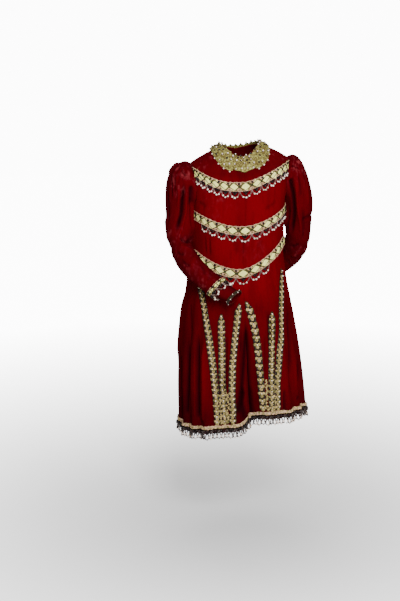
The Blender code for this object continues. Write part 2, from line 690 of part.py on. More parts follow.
def main():
    clear_scene()
    velvet = make_material("crimson_velvet", (0.24, 0.004, 0.012), 0.75)
    braid = make_material("gold_braid", (0.62, 0.52, 0.30), 0.5, 0.3)
    gimp = make_material("gold_gimp", (0.52, 0.46, 0.22), 0.5, 0.3)

    quarters = []
    for word, side, half in (("right", -1, slice(0, COLUMNS + 1)),
                             ("left", 1, slice(COLUMNS, 2 * COLUMNS + 1))):
        front, back = body_sheets(side)
        for place, sheet in (("front", front), ("back", back)):
            quarters.append(Sheet(sheet.points[:, half], sheet.normals[:, half], False))
            panel(f"{place}_{word}", quarters[-1], velvet)

    behind = [*range(2 * COLUMNS - 1, 0, -1)]
    whole = Sheet(np.concatenate([front.points, back.points[:, behind]], axis=1),
                  np.concatenate([front.normals, back.normals[:, behind]], axis=1), True)
    levels = [level for _, level in body_rows()]

    across_front = list(range(1, 2 * COLUMNS))
    for swag in SWAGS:
        spans = side_by_side(swag.first_loop, SWAG_LOOP_COLUMNS, swag.loops)
        braid_row(swag.name, front, swag.top_row, across_front, braid, spans)
    for stripe in STRIPES:
        stripe_braid(stripe, front, levels, braid)
    hem_row = len(SECTIONS) - 1
    all_round = list(range(4 * COLUMNS))
    braid_row("hem_band", whole, hem_row, all_round, braid,
              side_by_side(0, 4 * COLUMNS / HEM_LOOPS, HEM_LOOPS))

    make_collar(quarters, gimp)

    sides = (("right", -1, RIGHT_SLEEVE), ("left", 1, LEFT_SLEEVE))
    for word, side, rings in sides:
        sleeve = make_sleeve(f"sleeve_{word}", side, rings, front, back, velvet)
        undercuff = make_undercuff(f"undercuff_{word}", side, sleeve, velvet)
        braid_row(f"cuffband_{word}", sleeve, len(rings) - 1, list(range(SLEEVE_COLUMNS)),
                  braid, side_by_side(0, SLEEVE_COLUMNS / CUFF_LOOPS, CUFF_LOOPS))
        braid_row(f"wristband_{word}", undercuff, len(UNDERCUFF_RINGS) - 2,
                  list(range(SLEEVE_COLUMNS // 2)), braid)


main()
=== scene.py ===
"""Clown's stage coat in crimson velvet, with gold braid, jewels and strung pearls.

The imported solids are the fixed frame. Each velvet solid is dressed as creased cloth, and each
braid solid as a woven strip with its own leaves, cords, jewels and loops of beads.
Lengths are metres. The front faces -Y, the wearer's left is +X, and +Z is up.
"""
import math
from collections import namedtuple

import bmesh
import bpy
import numpy as np
from bpy.props import FloatProperty, FloatVectorProperty, IntProperty, PointerProperty
from mathutils import Matrix, Vector
from mathutils.bvhtree import BVHTree


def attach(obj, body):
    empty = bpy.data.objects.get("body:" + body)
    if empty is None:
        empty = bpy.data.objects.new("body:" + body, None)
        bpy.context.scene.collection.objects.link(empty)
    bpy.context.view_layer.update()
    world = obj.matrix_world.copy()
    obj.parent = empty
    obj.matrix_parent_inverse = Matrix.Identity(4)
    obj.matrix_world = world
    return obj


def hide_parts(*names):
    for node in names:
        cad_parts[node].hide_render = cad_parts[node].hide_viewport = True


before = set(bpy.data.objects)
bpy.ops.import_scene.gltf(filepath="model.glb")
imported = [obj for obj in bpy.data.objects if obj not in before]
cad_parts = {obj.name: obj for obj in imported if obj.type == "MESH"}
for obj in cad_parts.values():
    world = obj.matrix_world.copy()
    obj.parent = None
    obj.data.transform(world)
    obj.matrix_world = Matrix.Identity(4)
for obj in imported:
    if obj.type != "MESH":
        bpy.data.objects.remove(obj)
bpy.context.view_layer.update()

bl_info = {
    "name": "Clown's Stage Coat",
    "version": (1, 0, 0),
    "blender": (4, 5, 0),
    "location": "View3D > Sidebar > Stage Coat",
    "description": "Dresses a velvet stage coat with creases, braid, jewels and strung pearls",
    "category": "Object",
}

MM = 0.001
WHITE = 12.0                    # brightness at which the surround renders white

# ---------------------------------------------------------------- the coat's lines
ROUNDNESS = 0.87                # exponent of the body's sections, as in the solids
LEAN = 0.053                    # rise per unit of width, towards the wearer's left
BODY_COLUMNS = 18               # columns of the pattern in a quarter of the body
BODY_COURSE = np.array(((0.0, 0.0, -0.17), (0.0, 0.0, -1.2)))   # the body's own axis

# Millimetres: heights at centre front and side, half the width, the depth, the shift, how late
# a row turns up on the right and on the left, how much higher it ends on the left, and the
# angle of its last column in degrees, which is less beside an armhole.
Row = namedtuple("Row", "front side half_width depth shift right_sweep left_sweep rise last",
                 defaults=(90.0,))
Swag = namedtuple("Swag", "name upper lower first_loop loops")
SWAGS = (
    Swag("swag_top", Row(-101, -37, 181, 111, 0, 2.6, 1.3, 0, 81.0),
         Row(-133, -62, 180, 117, 0, 2.6, 1.3, 0, 71.4), 1.1, 13),
    Swag("swag_middle", Row(-257, -197, 172, 126, -2, 2.0, 1.7, 0),
         Row(-289, -229, 169, 126, -4, 2.0, 1.7, 0), 6.3, 11),
    Swag("swag_low", Row(-412, -333, 168, 126, -10, 2.0, 1.5, 16),
         Row(-444, -368, 173, 128, -10, 2.0, 1.5, 16), 11.5, 5),
)
LOOP_COLUMNS = 2.6              # columns of the pattern that one motif and its loop span
MOTIFS = np.arange(-6, 16)      # more than a swag holds: those far past its ends are dropped
MOTIF_OVERRUN = 1.5             # columns past a side seam up to which a motif is kept

# A braid's woven ground: the lift of its face off the cloth, its thickness and its cells.
BRAID_LIFT = 1.9 * MM
BRAID_THICKNESS = 1.5 * MM
BRAID_STEP = 3 * MM
BRAID_ROWS = 9

# Distance between a stripe's pairs of leaves, as a share of the pitch, and the place across the
# stripe of its pearls.
Stripe = namedtuple("Stripe", "spacing pearls_at")
STRIPES = (Stripe(1.04, 0.40), Stripe(1.0, 0.5), Stripe(1.03, 0.72), Stripe(1.33, 0.5),
           Stripe(1.03, 0.5), Stripe(0.98, 0.68))
STRIPE_TOP, STRIPE_FOOT = 9 * MM, 10 * MM       # bare ends beyond the first and last leaves
Gap = namedtuple("Gap", "first second widest")
FILLED_GAPS = (Gap(0, 1, 11 * MM), Gap(1, 2, 11 * MM), Gap(3, 4, 19 * MM), Gap(4, 5, 11 * MM))
FILL_DISTANCES = np.arange(4, 120, 6.5) * MM    # from the stripes' feet up, while it is narrow

HEM_BAND = 19 * MM
HEM_BELOW_BAND = 11 * MM
HEM_GATHER = 12.5 * MM          # ribbon that one gather of the hem takes up
HEM_LOOPS, HEM_LEAVES = 52, 96
BELOW_HEM = -1.07               # a height at which no cloth is left
CUFF_LOOPS = 8
CUFF_POINTS, WRIST_POINTS = 97, 73              # points round a cuff's and a wrist's band
WRIST_BAND = (54.5, 65.0)       # millimetres from the sleeve's end to the band's two edges
WRIST_BEAD_STEP = 8.5 * MM
SNAP_FROM, SNAP_REACH = 20 * MM, 45 * MM        # start and length of a search for a sleeve's face

# Millimetres: half the width of a row of the collar's shells and its depth at the front; also
# the shells' size, by how much of a shell the row starts late, and how far the row follows the
# fuller corners.
CollarRow = namedtuple("CollarRow", "shells half_width front size start spread")
COLLAR_ROWS = (
    CollarRow(36, 99, 90.5, 1.0, 0.0, 1.0), CollarRow(32, 91, 84, 0.95, 0.5, 0.55),
    CollarRow(27, 83, 77.5, 0.9, 0.0, 0.2), CollarRow(23, 75.5, 72, 0.8, 0.5, 0.0),
)
COLLAR_HALF_WIDTH, COLLAR_FRONT, COLLAR_BACK = 104, 95.5, 91.0
COLLAR_CORNER = 11              # how far the gimp spreads at its lower front corners
COLLAR_BORDER = 12              # width of the border that is laid round the edge
COLLAR_BACK_LESS = 4.5          # how much less deep the rows of shells are at the back
COLLAR_EDGE_PEARLS, EDGE_HALF_WIDTH, EDGE_FRONT, EDGE_BACK = 32, 109, 100.5, 94.5
COLLAR_SHELL = (22 * MM, 18 * MM, 3.2 * MM)     # width, length and thickness in metres
COLLAR_PEARL, COLLAR_JEWEL = 6 * MM, 8.6 * MM

# Millimetres: opposite points of a sleeve's ring on the outside and the inside of the arm, and
# half its other width. The last three rings of each sleeve carry the cuff's braid.
Ring = namedtuple("Ring", "outer inner half")
CUFF_RINGS = {
    "right": (Ring((-177, -137, -467), (-139, -165, -404), 39),
              Ring((-144, -164, -490), (-97, -182, -433), 39),
              Ring((-131, -178, -499), (-82, -190, -445), 38.5)),
    "left": (Ring((193, 162, -498), (165, 150, -424), 40),
             Ring((148, 178, -522), (124, 168, -450), 39),
             Ring((131, 182, -529), (108, 174, -458), 38.5)),
}
UNDERCUFF_SHARES = ((-12, 0.935), (24, 0.84), (54, 0.80), (66, 0.79))
UNDERCUFF_TURN = {"right": (0.008, 0.012, 0.004), "left": (-0.012, -0.006, 0.0)}
SIDES = {"right": -1, "left": 1}

# Millimetres: the middle of each arm from the armhole to the cuff.
SLEEVE_COURSE = {
    "right": ((-182, 0, -114), (-189, 0, -114), (-204, 0, -124), (-218, 0, -142),
              (-225, 0, -172), (-226, -1, -219), (-225, -7, -268), (-227, -23, -315),
              (-221, -63, -357), (-197, -114, -401), (-158, -151, -436), (-121, -173, -462),
              (-107, -184, -472)),
    "left": ((182, 0, -106), (185, 0, -108), (198, 0, -109), (212, 1, -131), (223, 4, -170),
             (234, 11, -222), (231, 18, -275), (237, 35, -326), (239, 70, -374),
             (218, 120, -422), (179, 156, -461), (136, 173, -486), (120, 178, -494)),
}

# ---------------------------------------------------------------- creases
# Millimetres: points on the cloth, half the crease's own width, and its depth, which is how far
# it stands out, or in below zero. open says at which ends it runs on into a seam.
Crease = namedtuple("Crease", "points width depth open", defaults=("",))


def creases(*rows):
    return tuple(Crease(*row) for row in rows)


BODY_CREASES = creases(
    # the inverted pleat at the centre front and the hollows beside it
    (((-6, -148, -610), (-16, -155, -720), (-20, -165, -860), (-14, -172, -960)), 15, -5, "end"),
    (((-22, -172, -905), (2, -172, -945), (18, -170, -985)), 14, -7, "end"),
    (((1, -146, -582), (-1, -147, -637), (-3, -149, -700), (-9, -158, -800), (-18, -166, -870),
      (-28, -175, -930)), 7, -9, "end"),
    (((-18, -148, -618), (-20, -152, -669), (-21, -156, -721)), 5, -4),
    (((-12, -156, -850), (-22, -167, -893), (-30, -177, -928)), 11, -20, "end"),
    # flutes on the wearer's right
    (((-171, -101, -638), (-172, -107, -742), (-175, -111, -847), (-173, -115, -961)),
     6, -12, "end"),
    (((-181, -102, -682), (-183, -110, -824), (-184, -117, -964)), 4, 6, "end"),
    (((-199, -63, -676), (-202, -69, -796), (-209, -64, -960)), 8, -10, "end"),
    (((-156, -125, -660), (-158, -139, -817), (-157, -135, -971)), 9, 8, "end"),
    (((-191, -51, -535), (-191, -63, -608), (-193, -83, -698)), 6, -5),
    (((-214, 8, -681), (-218, 5, -796), (-212, 2, -973)), 7, -8, "end"),
    (((-65, -130, -487), (-48, -139, -541), (-43, -152, -631)), 7, -3),
    (((-74, -149, -630), (-77, -160, -740), (-77, -163, -890)), 5, -5),
    (((-200, 12, -500), (-214, 10, -620), (-217, 6, -720), (-217, 4, -800)), 30, 12),
    # flutes on the wearer's left
    (((167, -76, -528), (169, -111, -630), (175, -122, -762), (165, -161, -904)), 6, -7),
    (((198, -80, -696), (192, -123, -781), (195, -128, -896)), 5, 5),
    (((220, -75, -757), (220, -82, -845), (204, -129, -916)), 5, -8, "end"),
    (((146, -157, -858), (146, -159, -903), (147, -161, -941)), 4, -9, "end"),
    (((22, -156, -730), (34, -159, -821), (40, -157, -913)), 9, -3, "end"),
    (((69, -152, -635), (69, -166, -745), (69, -176, -837)), 5, -4),
    (((88, -140, -555), (90, -155, -640), (91, -162, -720)), 8, -6),
    # slack in the bodice, below the swags and beside the armholes
    (((-172, 22, -180), (-171, 20, -235), (-168, 18, -290), (-168, 10, -350)), 30, 6),
    (((172, 30, -140), (172, 26, -220), (169, 22, -300), (166, 18, -380)), 28, 13),
    (((-141, -83, -295), (-141, -84, -331), (-138, -89, -360)), 4, -3),
    (((-128, -94, -294), (-127, -95, -333), (-125, -99, -373)), 4, -3),
    (((-162, -55, -175), (-150, -72, -183), (-138, -85, -194)), 7, -3),
    (((124, -96, -169), (99, -109, -188), (67, -119, -201)), 7, -3),
    (((-50, -123, -291), (-36, -124, -321), (-35, -124, -364)), 8, -2.5),
    (((61, -118, -302), (46, -121, -338), (47, -121, -374)), 8, -2.5),
    # the back: drag lines from the shoulders, slack at the waist, flutes of the skirt
    (((-120, 96, -150), (-105, 105, -230), (-85, 113, -320)), 9, -4),
    (((118, 98, -140), (100, 108, -235), (88, 112, -310)), 9, -5),
    (((-38, 118, -170), (-30, 122, -260), (-42, 121, -350)), 10, -3),
    (((-90, 112, -430), (-30, 128, -452), (30, 128, -448), (85, 118, -425)), 7, -5),
    (((-110, 100, -395), (-62, 118, -410), (-14, 124, -402)), 6, -3.5),
    (((-60, 122, -470), (-66, 136, -540), (-80, 150, -640)), 8, -6),
    (((70, 120, -455), (74, 138, -550), (92, 148, -650)), 8, -6),
    (((-40, 150, -600), (-52, 172, -780), (-58, 190, -965)), 8, -9, "end"),
    (((58, 150, -580), (64, 172, -770), (70, 188, -955)), 8, -10, "end"),
    (((130, 112, -620), (150, 128, -790), (156, 138, -960)), 7, -8, "end"),
    (((-132, 110, -610), (-150, 126, -780), (-158, 136, -980)), 7, -9, "end"),
    (((8, 158, -640), (10, 176, -800), (14, 195, -960)), 7, 6, "end"),
)
SLEEVE_CREASES = {
    "right": creases(
        # long hollows and ridges down the front of the upper arm
        (((-216, -66, -92), (-218, -70, -129), (-219, -62, -177), (-222, -57, -220),
          (-235, -53, -257), (-250, -54, -289)), 7, -13),
        (((-188, -61, -123), (-187, -44, -187), (-188, -38, -242), (-189, -31, -301)),
         9, -11, "start"),
        (((-184, -40, -165), (-180, -37, -205), (-181, -40, -255), (-184, -46, -305)), 20, 13),
        (((-204, -66, -148), (-208, -57, -210), (-220, -56, -268), (-242, -74, -315)), 5, 6),
        (((-267, -19, -116), (-267, -26, -187), (-265, -26, -271)), 6, -5),
        (((-262, 0, -225), (-270, -10, -280), (-262, -25, -335)), 30, 7),
        # the gathered head
        (((-214, 4, -40), (-238, 0, -52), (-258, 0, -85)), 22, 8),
        (((-245, -44, -88), (-247, -54, -145)), 4, -6),
        (((-251, -15, -62), (-257, -40, -117), (-255, -45, -167)), 5, -6),
        (((-224, -39, -53), (-212, -54, -74), (-199, -60, -88)), 4, -5),
        (((-232, -52, -100), (-233, -60, -150), (-236, -58, -200)), 5, 4),
        # the bend of the elbow and the forearm
        (((-188, -41, -315), (-206, -76, -316), (-220, -74, -309), (-233, -63, -295)),
         6, -10, "start"),
        (((-251, -87, -346), (-236, -107, -354), (-220, -119, -352)), 5, -6),
        (((-238, -115, -374), (-220, -143, -388), (-201, -155, -390)), 5, -5),
        (((-239, -80, -322), (-214, -103, -333), (-186, -110, -348)), 6, 6),
        (((-171, -148, -378), (-161, -174, -402), (-160, -189, -425)), 6, -5),
        (((-181, -126, -360), (-200, -152, -383), (-208, -156, -411)), 6, 5),
        (((-133, -150, -405), (-142, -190, -422), (-158, -196, -449)), 5, -5),
        # towards the body, and the back of the arm
        (((-186, 4, -160), (-183, -4, -200), (-180, -12, -255), (-182, -18, -300),
          (-180, -24, -350)), 22, 17),
        (((-215, 50, -100), (-224, 56, -170), (-222, 52, -240), (-232, 40, -300)), 7, -10),
        (((-245, 44, -110), (-255, 46, -190), (-252, 44, -260)), 6, -6),
        (((-195, 58, -130), (-198, 54, -200), (-205, 46, -260)), 6, 5),
        (((-258, -60, -340), (-268, -20, -352), (-258, 15, -345)), 6, -6),
        (((-250, -80, -380), (-256, -40, -396), (-243, -5, -388)), 6, -5),
        (((-215, -70, -440), (-190, -105, -462), (-160, -130, -478)), 6, -4),
    ),
    "left": creases(
        # long hollows and ridges down the front of the upper arm
        (((181, -60, -101), (190, -59, -156), (198, -45, -206), (200, -28, -256), (199, -4, -315)),
         7, -14, "start"),
        (((206, -67, -68), (214, -71, -115), (218, -64, -171)), 5, -6),
        (((194, -65, -86), (200, -67, -137), (209, -53, -205), (224, -38, -266), (238, -18, -322)),
         6, 7),
        (((227, -61, -193), (239, -37, -271), (245, -8, -343)), 6, -5),
        (((186, 10, -150), (186, 14, -200), (188, 17, -240), (190, 20, -290)), 21, 21),
        (((192, 44, -318), (188, 56, -350), (180, 72, -380)), 14, 7),
        (((184, -25, -197), (186, -6, -255), (190, 20, -319)), 6, -8),
        (((235, -54, -95), (248, -53, -158), (250, -49, -206)), 6, 4),
        # the high gathered head
        (((180, -44, -52), (193, -53, -49), (215, -56, -59)), 4, -6, "start"),
        (((184, -29, -31), (182, -53, -66), (177, -59, -108)), 5, 5),
        (((226, -40, -62), (234, -52, -95), (238, -56, -140)), 4, -5),
        # the dent on the outside, the bend of the elbow and the forearm
        (((285, 10, -236), (259, -37, -238), (241, -43, -244), (227, -40, -259)), 5, -8, "start"),
        (((203, 23, -358), (219, 9, -360), (234, -7, -346)), 6, -7),
        (((211, 47, -400), (230, 31, -394), (248, 15, -373)), 6, 6),
        (((194, 75, -412), (209, 69, -427), (227, 90, -451)), 6, -5),
        (((255, 5, -330), (262, 25, -375), (248, 60, -415)), 5, -5),
        # the back of the arm
        (((215, 60, -90), (232, 68, -160), (234, 70, -230), (245, 70, -300)), 7, -10),
        (((245, 50, -100), (268, 58, -190), (268, 64, -260)), 6, -6),
        (((190, 52, -120), (196, 58, -200), (205, 60, -270)), 6, 5),
        (((285, 10, -345), (290, 50, -360), (280, 85, -352)), 6, -6),
        (((270, 40, -400), (268, 90, -412), (248, 120, -404)), 6, -5),
        (((240, 140, -440), (205, 170, -462), (170, 192, -480)), 6, -5),
    ),
}

# Millimetres: where the pile is crushed, how far round, and how much from 0 to 1.
Wear = namedtuple("Wear", "centre radius amount")
WEAR = (
    # shoulders and sleeve heads
    Wear((-205, -40, -45), 60, 0.9), Wear((-250, -40, -110), 55, 0.55),
    Wear((215, -30, -35), 60, 0.9), Wear((-120, -20, 0), 60, 0.6),
    Wear((130, -20, 10), 60, 0.5),
    # elbows and forearms
    Wear((-262, -20, -330), 70, 0.8), Wear((-225, -100, -420), 60, 0.9),
    Wear((-160, -170, -470), 50, 0.7), Wear((285, 60, -380), 80, 0.8),
    Wear((240, 130, -450), 60, 0.7),
    # bodice, back and skirt
    Wear((-100, -110, -170), 70, 0.25), Wear((60, -130, -350), 70, 0.2),
    Wear((0, 130, -260), 90, 0.3), Wear((0, 170, -560), 110, 0.35),
    Wear((-180, 120, -900), 90, 0.3),
)


# ---------------------------------------------------------------- settings
class VelvetSettings(bpy.types.PropertyGroup):
    colour: FloatVectorProperty(
        name="Velvet", description="Colour of the pile where it faces the light",
        subtype="COLOR", size=3, min=0, max=1, default=(0.103, 0.0011, 0.0038))
    # painted shade: this colour is blended in where the painted light on the pile is low
    shade: FloatVectorProperty(
        name="Shaded Pile", description="Colour of the pile where it leans away",
        subtype="COLOR", size=3, min=0, max=1, default=(0.0095, 0.0005, 0.0014))
    worn: FloatVectorProperty(
        name="Crushed Pile", description="Colour of the pile where wear has crushed it",
        subtype="COLOR", size=3, min=0, max=1, default=(0.165, 0.020, 0.024))
    crease: FloatProperty(
        name="Crease Depth", description="Scale of all the creases; 1 is as worn",
        subtype="FACTOR", min=0, max=2, default=1.0)
    front_smoothing: IntProperty(
        name="Front and Sleeve Smoothing", description="Subdivisions of the fronts and sleeves",
        min=1, max=3, default=3)
    back_smoothing: IntProperty(
        name="Back Smoothing", description="Subdivisions of the backs and under-cuffs",
        min=1, max=3, default=2)


class TrimSettings(bpy.types.PropertyGroup):
    cream: FloatVectorProperty(
        name="Cream Thread", description="Colour of the pale thread of leaves and lozenges",
        subtype="COLOR", size=3, min=0, max=1, default=(0.94, 0.76, 0.28))
    khaki: FloatVectorProperty(
        name="Aged Gold", description="Colour of the tarnished thread of the skirt's leaves",
        subtype="COLOR", size=3, min=0, max=1, default=(0.57, 0.40, 0.175))
    gold: FloatVectorProperty(
        name="Gold Thread", description="Colour of the metal thread of the woven ground",
        subtype="COLOR", size=3, min=0, max=1, default=(0.17, 0.13, 0.036))
    green: FloatVectorProperty(
        name="Green Cord", description="Colour of the dark cords that cross on the braid",
        subtype="COLOR", size=3, min=0, max=1, default=(0.022, 0.028, 0.009))
    pink: FloatVectorProperty(
        name="Faded Edge", description="Colour of the faded cords and ribbon at the edges",
        subtype="COLOR", size=3, min=0, max=1, default=(0.66, 0.38, 0.26))
    gimp: FloatVectorProperty(
        name="Collar Gimp", description="Colour of the collar's stiff gold gimp",
        subtype="COLOR", size=3, min=0, max=1, default=(0.31, 0.295, 0.085))
    pearl: FloatVectorProperty(
        name="Pearl", description="Colour of the pearls",
        subtype="COLOR", size=3, min=0, max=1, default=(0.808, 0.664, 0.576))
    glass: FloatVectorProperty(
        name="Small Bead", description="Colour of the small grey glass beads",
        subtype="COLOR", size=3, min=0, max=1, default=(0.15, 0.09, 0.078))
    jewel: FloatVectorProperty(
        name="Jewel", description="Colour of the dark jewels",
        subtype="COLOR", size=3, min=0, max=1, default=(0.006, 0.003, 0.003))
    pearl_size: FloatProperty(
        name="Pearl Size", description="Width of the pearls at the bottom of the loops",
        subtype="DISTANCE", unit="LENGTH", min=0.004, max=0.010, default=0.0072)
    bead_size: FloatProperty(
        name="Bead Size", description="Width of the small strung beads",
        subtype="DISTANCE", unit="LENGTH", min=0.002, max=0.005, default=0.0034)
    jewel_size: FloatProperty(
        name="Jewel Size", description="Width of the dark jewels",
        subtype="DISTANCE", unit="LENGTH", min=0.003, max=0.012, default=0.0098)
    loop_drop: FloatProperty(
        name="Loop Drop", description="How far the loops of beads hang below the braid",
        subtype="DISTANCE", unit="LENGTH", min=0.015, max=0.030, default=0.0220)
    stripe_pitch: FloatProperty(
        name="Stripe Pitch", description="Distance between the leaves of the skirt's stripes",
        subtype="DISTANCE", unit="LENGTH", min=0.015, max=0.030, default=0.0195)
    cord: FloatProperty(
        name="Cord Thickness", description="Thickness of the cords laid on the braid",
        subtype="DISTANCE", unit="LENGTH", min=0.001, max=0.004, default=0.0024)


class StageSettings(bpy.types.PropertyGroup):
    floor_height: FloatProperty(
        name="Floor", description="Height of the floor that the wearer stands on",
        subtype="DISTANCE", unit="LENGTH", min=-2, max=-1.1, default=-1.46)
    key_power: FloatProperty(
        name="Key Light", description="Power of the large soft light in front",
        unit="POWER", min=0, max=500, default=165)
    surround: FloatProperty(
        name="Surround", description="Light that the white surround sheds on the coat",
        min=0, max=3, default=0.3)


# ---------------------------------------------------------------- working with Blender's tools
def select_only(thing):
    bpy.ops.object.select_all(action="DESELECT")
    thing.select_set(True)
    bpy.context.view_layer.objects.active = thing


def edit(thing):
    select_only(thing)
    bpy.ops.object.mode_set(mode="EDIT")
    bpy.ops.mesh.select_all(action="SELECT")


def leave_edit():
    bpy.ops.object.mode_set(mode="OBJECT")


def select_points(thing, test):
    """In edit mode, select the points whose place passes the test, and no others."""
    bpy.ops.mesh.select_mode(type="VERT")
    bpy.ops.mesh.select_all(action="DESELECT")
    bm = bmesh.from_edit_mesh(thing.data)
    for vert in bm.verts:
        if test(vert.co):
            vert.select_set(True)
    bm.select_flush_mode()
    bmesh.update_edit_mesh(thing.data)


def smooth_faces(thing, angle):
    """Smooth shading, but for edges that turn by more than the angle in degrees."""
    select_only(thing)
    bpy.ops.object.shade_smooth_by_angle(angle=math.radians(angle))


def apply_modifier(thing, kind, **settings):
    select_only(thing)
    modifier = thing.modifiers.new(kind.title(), kind)
    for name, value in settings.items():
        setattr(modifier, name, value)
    bpy.ops.object.modifier_apply(modifier=modifier.name)


def unit(vectors):
    length = np.linalg.norm(vectors, axis=-1, keepdims=True)
    return vectors / np.maximum(length, 1e-12)


def ease(value):
    value = np.clip(value, 0.0, 1.0)
    return value * value * (3 - 2 * value)


def points_of(thing):
    found = np.empty(len(thing.data.vertices) * 3)
    thing.data.vertices.foreach_get("co", found)
    return found.reshape(-1, 3)


def put_points(thing, points):
    thing.data.vertices.foreach_set("co", points.ravel())
    thing.data.update()


def keep_on_points(mesh, name, values):
    """Keep a number on each point, for the shaders to read."""
    mesh.attributes.new(name, "FLOAT", "POINT").data.foreach_set("value", values)


def finish_piece(thing, material, slot, *nodes):
    """Give a piece its finish, let it ride on the coat and stand for its nodes."""
    thing.data.materials.clear()
    thing.data.materials.append(material)
    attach(thing, "root")
    if nodes:
        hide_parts(*nodes)
    return thing


# ---------------------------------------------------------------- shader groups
def new_group(name, inputs, outputs):
    """Empty shader group; inputs are (name, kind, default) and outputs (name, kind)."""
    group = bpy.data.node_groups.new(name, "ShaderNodeTree")
    for label, kind, default in inputs:
        socket = group.interface.new_socket(name=label, in_out="INPUT", socket_type=kind)
        socket.default_value = default
    for label, kind in outputs:
        group.interface.new_socket(name=label, in_out="OUTPUT", socket_type=kind)
    return group, group.nodes.new("NodeGroupInput"), group.nodes.new("NodeGroupOutput")


FLOAT, COLOUR = "NodeSocketFloat", "NodeSocketColor"


def join(tree, source, target):
    tree.links.new(source, target)


def maths(tree, operation, first, second, third=None):
    node = tree.nodes.new("ShaderNodeMath")
    node.operation = operation
    for index, value in enumerate((first, second, third)):
        if value is None:
            continue
        if isinstance(value, (int, float)):
            node.inputs[index].default_value = value
        else:
            join(tree, value, node.inputs[index])
    return node.outputs[0]


def blend_colours(tree, share, first, second):
    node = tree.nodes.new("ShaderNodeMix")
    node.data_type = "RGBA"
    for socket, value in ((node.inputs["Factor"], share), (node.inputs[6], first),
                          (node.inputs[7], second)):
        if isinstance(value, (int, float)):
            socket.default_value = value
        elif isinstance(value, tuple):
            socket.default_value = (*value, 1.0)
        else:
            join(tree, value, socket)
    return node.outputs[2]


def noise(tree, vector, scale, detail, roughness=0.55, stretch=(1, 1, 1)):
    mapping = tree.nodes.new("ShaderNodeMapping")
    mapping.inputs["Scale"].default_value = stretch
    join(tree, vector, mapping.inputs["Vector"])
    node = tree.nodes.new("ShaderNodeTexNoise")
    for label, number in (("Scale", scale), ("Detail", detail), ("Roughness", roughness)):
        node.inputs[label].default_value = number
    join(tree, mapping.outputs[0], node.inputs["Vector"])
    return node.outputs["Fac"]


def remap(tree, value, low, high, to_low=0.0, to_high=1.0):
    node = tree.nodes.new("ShaderNodeMapRange")
    node.interpolation_type = "SMOOTHSTEP"
    for label, number in (("From Min", low), ("From Max", high),
                          ("To Min", to_low), ("To Max", to_high)):
        node.inputs[label].default_value = number
    join(tree, value, node.inputs["Value"])
    return node.outputs[0]


def object_place(tree):
    return tree.nodes.new("ShaderNodeTexCoord").outputs["Object"]


def kept_on_points(tree, name):
    """The number that a mesh keeps on its points under this name."""
    node = tree.nodes.new("ShaderNodeAttribute")
    node.attribute_name = name
    return node.outputs["Fac"]


def make_pile_group():
    """Pile velvet: streaks that run down the cloth, brushed patches and fine pile, with painted
    shade that blends the shade colour in where the painted light kept on the points is low.
    """
    group, given, out = new_group(
        "Velvet nap",
        (("Pile", COLOUR, (0.4, 0, 0, 1)), ("Shade", COLOUR, (0.1, 0, 0, 1)),
         ("Crushed", COLOUR, (0.5, 0.05, 0.05, 1)), ("Wear", FLOAT, 0.0), ("Nap", FLOAT, 1.0)),
        (("Colour", COLOUR), ("Roughness", FLOAT), ("Height", FLOAT)))
    where = object_place(group)
    streaks = noise(group, where, 55.0, 4.0, 0.6, (1, 1, 0.16))
    brushed = noise(group, where, 11.0, 3.0, 0.5, (1, 1, 0.6))
    fine = noise(group, where, 900.0, 2.0, 0.6)
    mixed = maths(group, "ADD", maths(group, "MULTIPLY", streaks, 0.45),
                  maths(group, "MULTIPLY", brushed, 0.55))
    # painted shade and painted highlight: the share of the lit pile colour follows the painted
    # light that each point keeps
    painted_lit_share = maths(group, "MULTIPLY", remap(group, mixed, 0.34, 0.58, 0.74, 1.04),
                    given.outputs["Nap"])
    colour = blend_colours(group, painted_lit_share, given.outputs["Shade"], given.outputs["Pile"])
    patches = noise(group, where, 62.0, 6.0, 0.68, (1, 1, 0.55))
    crushed = maths(group, "MULTIPLY", remap(group, patches, 0.50, 0.68),
                    given.outputs["Wear"])
    colour = blend_colours(group, crushed, colour, given.outputs["Crushed"])
    join(group, colour, out.inputs["Colour"])
    join(group, maths(group, "MULTIPLY_ADD", crushed, -0.25, 0.86), out.inputs["Roughness"])
    height = maths(group, "MULTIPLY_ADD", fine, 0.25, maths(group, "MULTIPLY", patches, 0.75))
    join(group, height, out.inputs["Height"])
    return group


def make_thread_group():
    """Close wound thread: fine ribs, tarnish in patches and a tone of each copy's own."""
    group, given, out = new_group(
        "Wound thread",
        (("Thread", COLOUR, (0.6, 0.5, 0.3, 1)), ("Tarnish", COLOUR, (0.2, 0.15, 0.05, 1)),
         ("Tarnished", FLOAT, 0.5)),
        (("Colour", COLOUR), ("Roughness", FLOAT), ("Height", FLOAT)))
    where = object_place(group)
    wave = group.nodes.new("ShaderNodeTexWave")
    wave.wave_type = "BANDS"
    wave.bands_direction = "DIAGONAL"
    for label, number in (("Scale", 900.0), ("Distortion", 2.5), ("Detail", 2.0)):
        wave.inputs[label].default_value = number
    join(group, where, wave.inputs["Vector"])
    ribs = wave.outputs["Fac"]
    patches = noise(group, where, 190.0, 4.0, 0.6)
    dirt = maths(group, "MULTIPLY", remap(group, patches, 0.38, 0.62),
                 given.outputs["Tarnished"])
    dirt = maths(group, "ADD", dirt, maths(group, "MULTIPLY", maths(
        group, "SUBTRACT", 1.0, ribs), 0.22))
    dirt = maths(group, "ADD", dirt, maths(group, "MULTIPLY", kept_on_points(group, "tone"),
                                           0.35))
    dirt = maths(group, "MINIMUM", dirt, 1.0)
    colour = blend_colours(group, dirt, given.outputs["Thread"], given.outputs["Tarnish"])
    join(group, colour, out.inputs["Colour"])
    join(group, maths(group, "MULTIPLY_ADD", dirt, 0.3, 0.42), out.inputs["Roughness"])
    join(group, maths(group, "MULTIPLY_ADD", patches, 0.3, ribs), out.inputs["Height"])
    return group


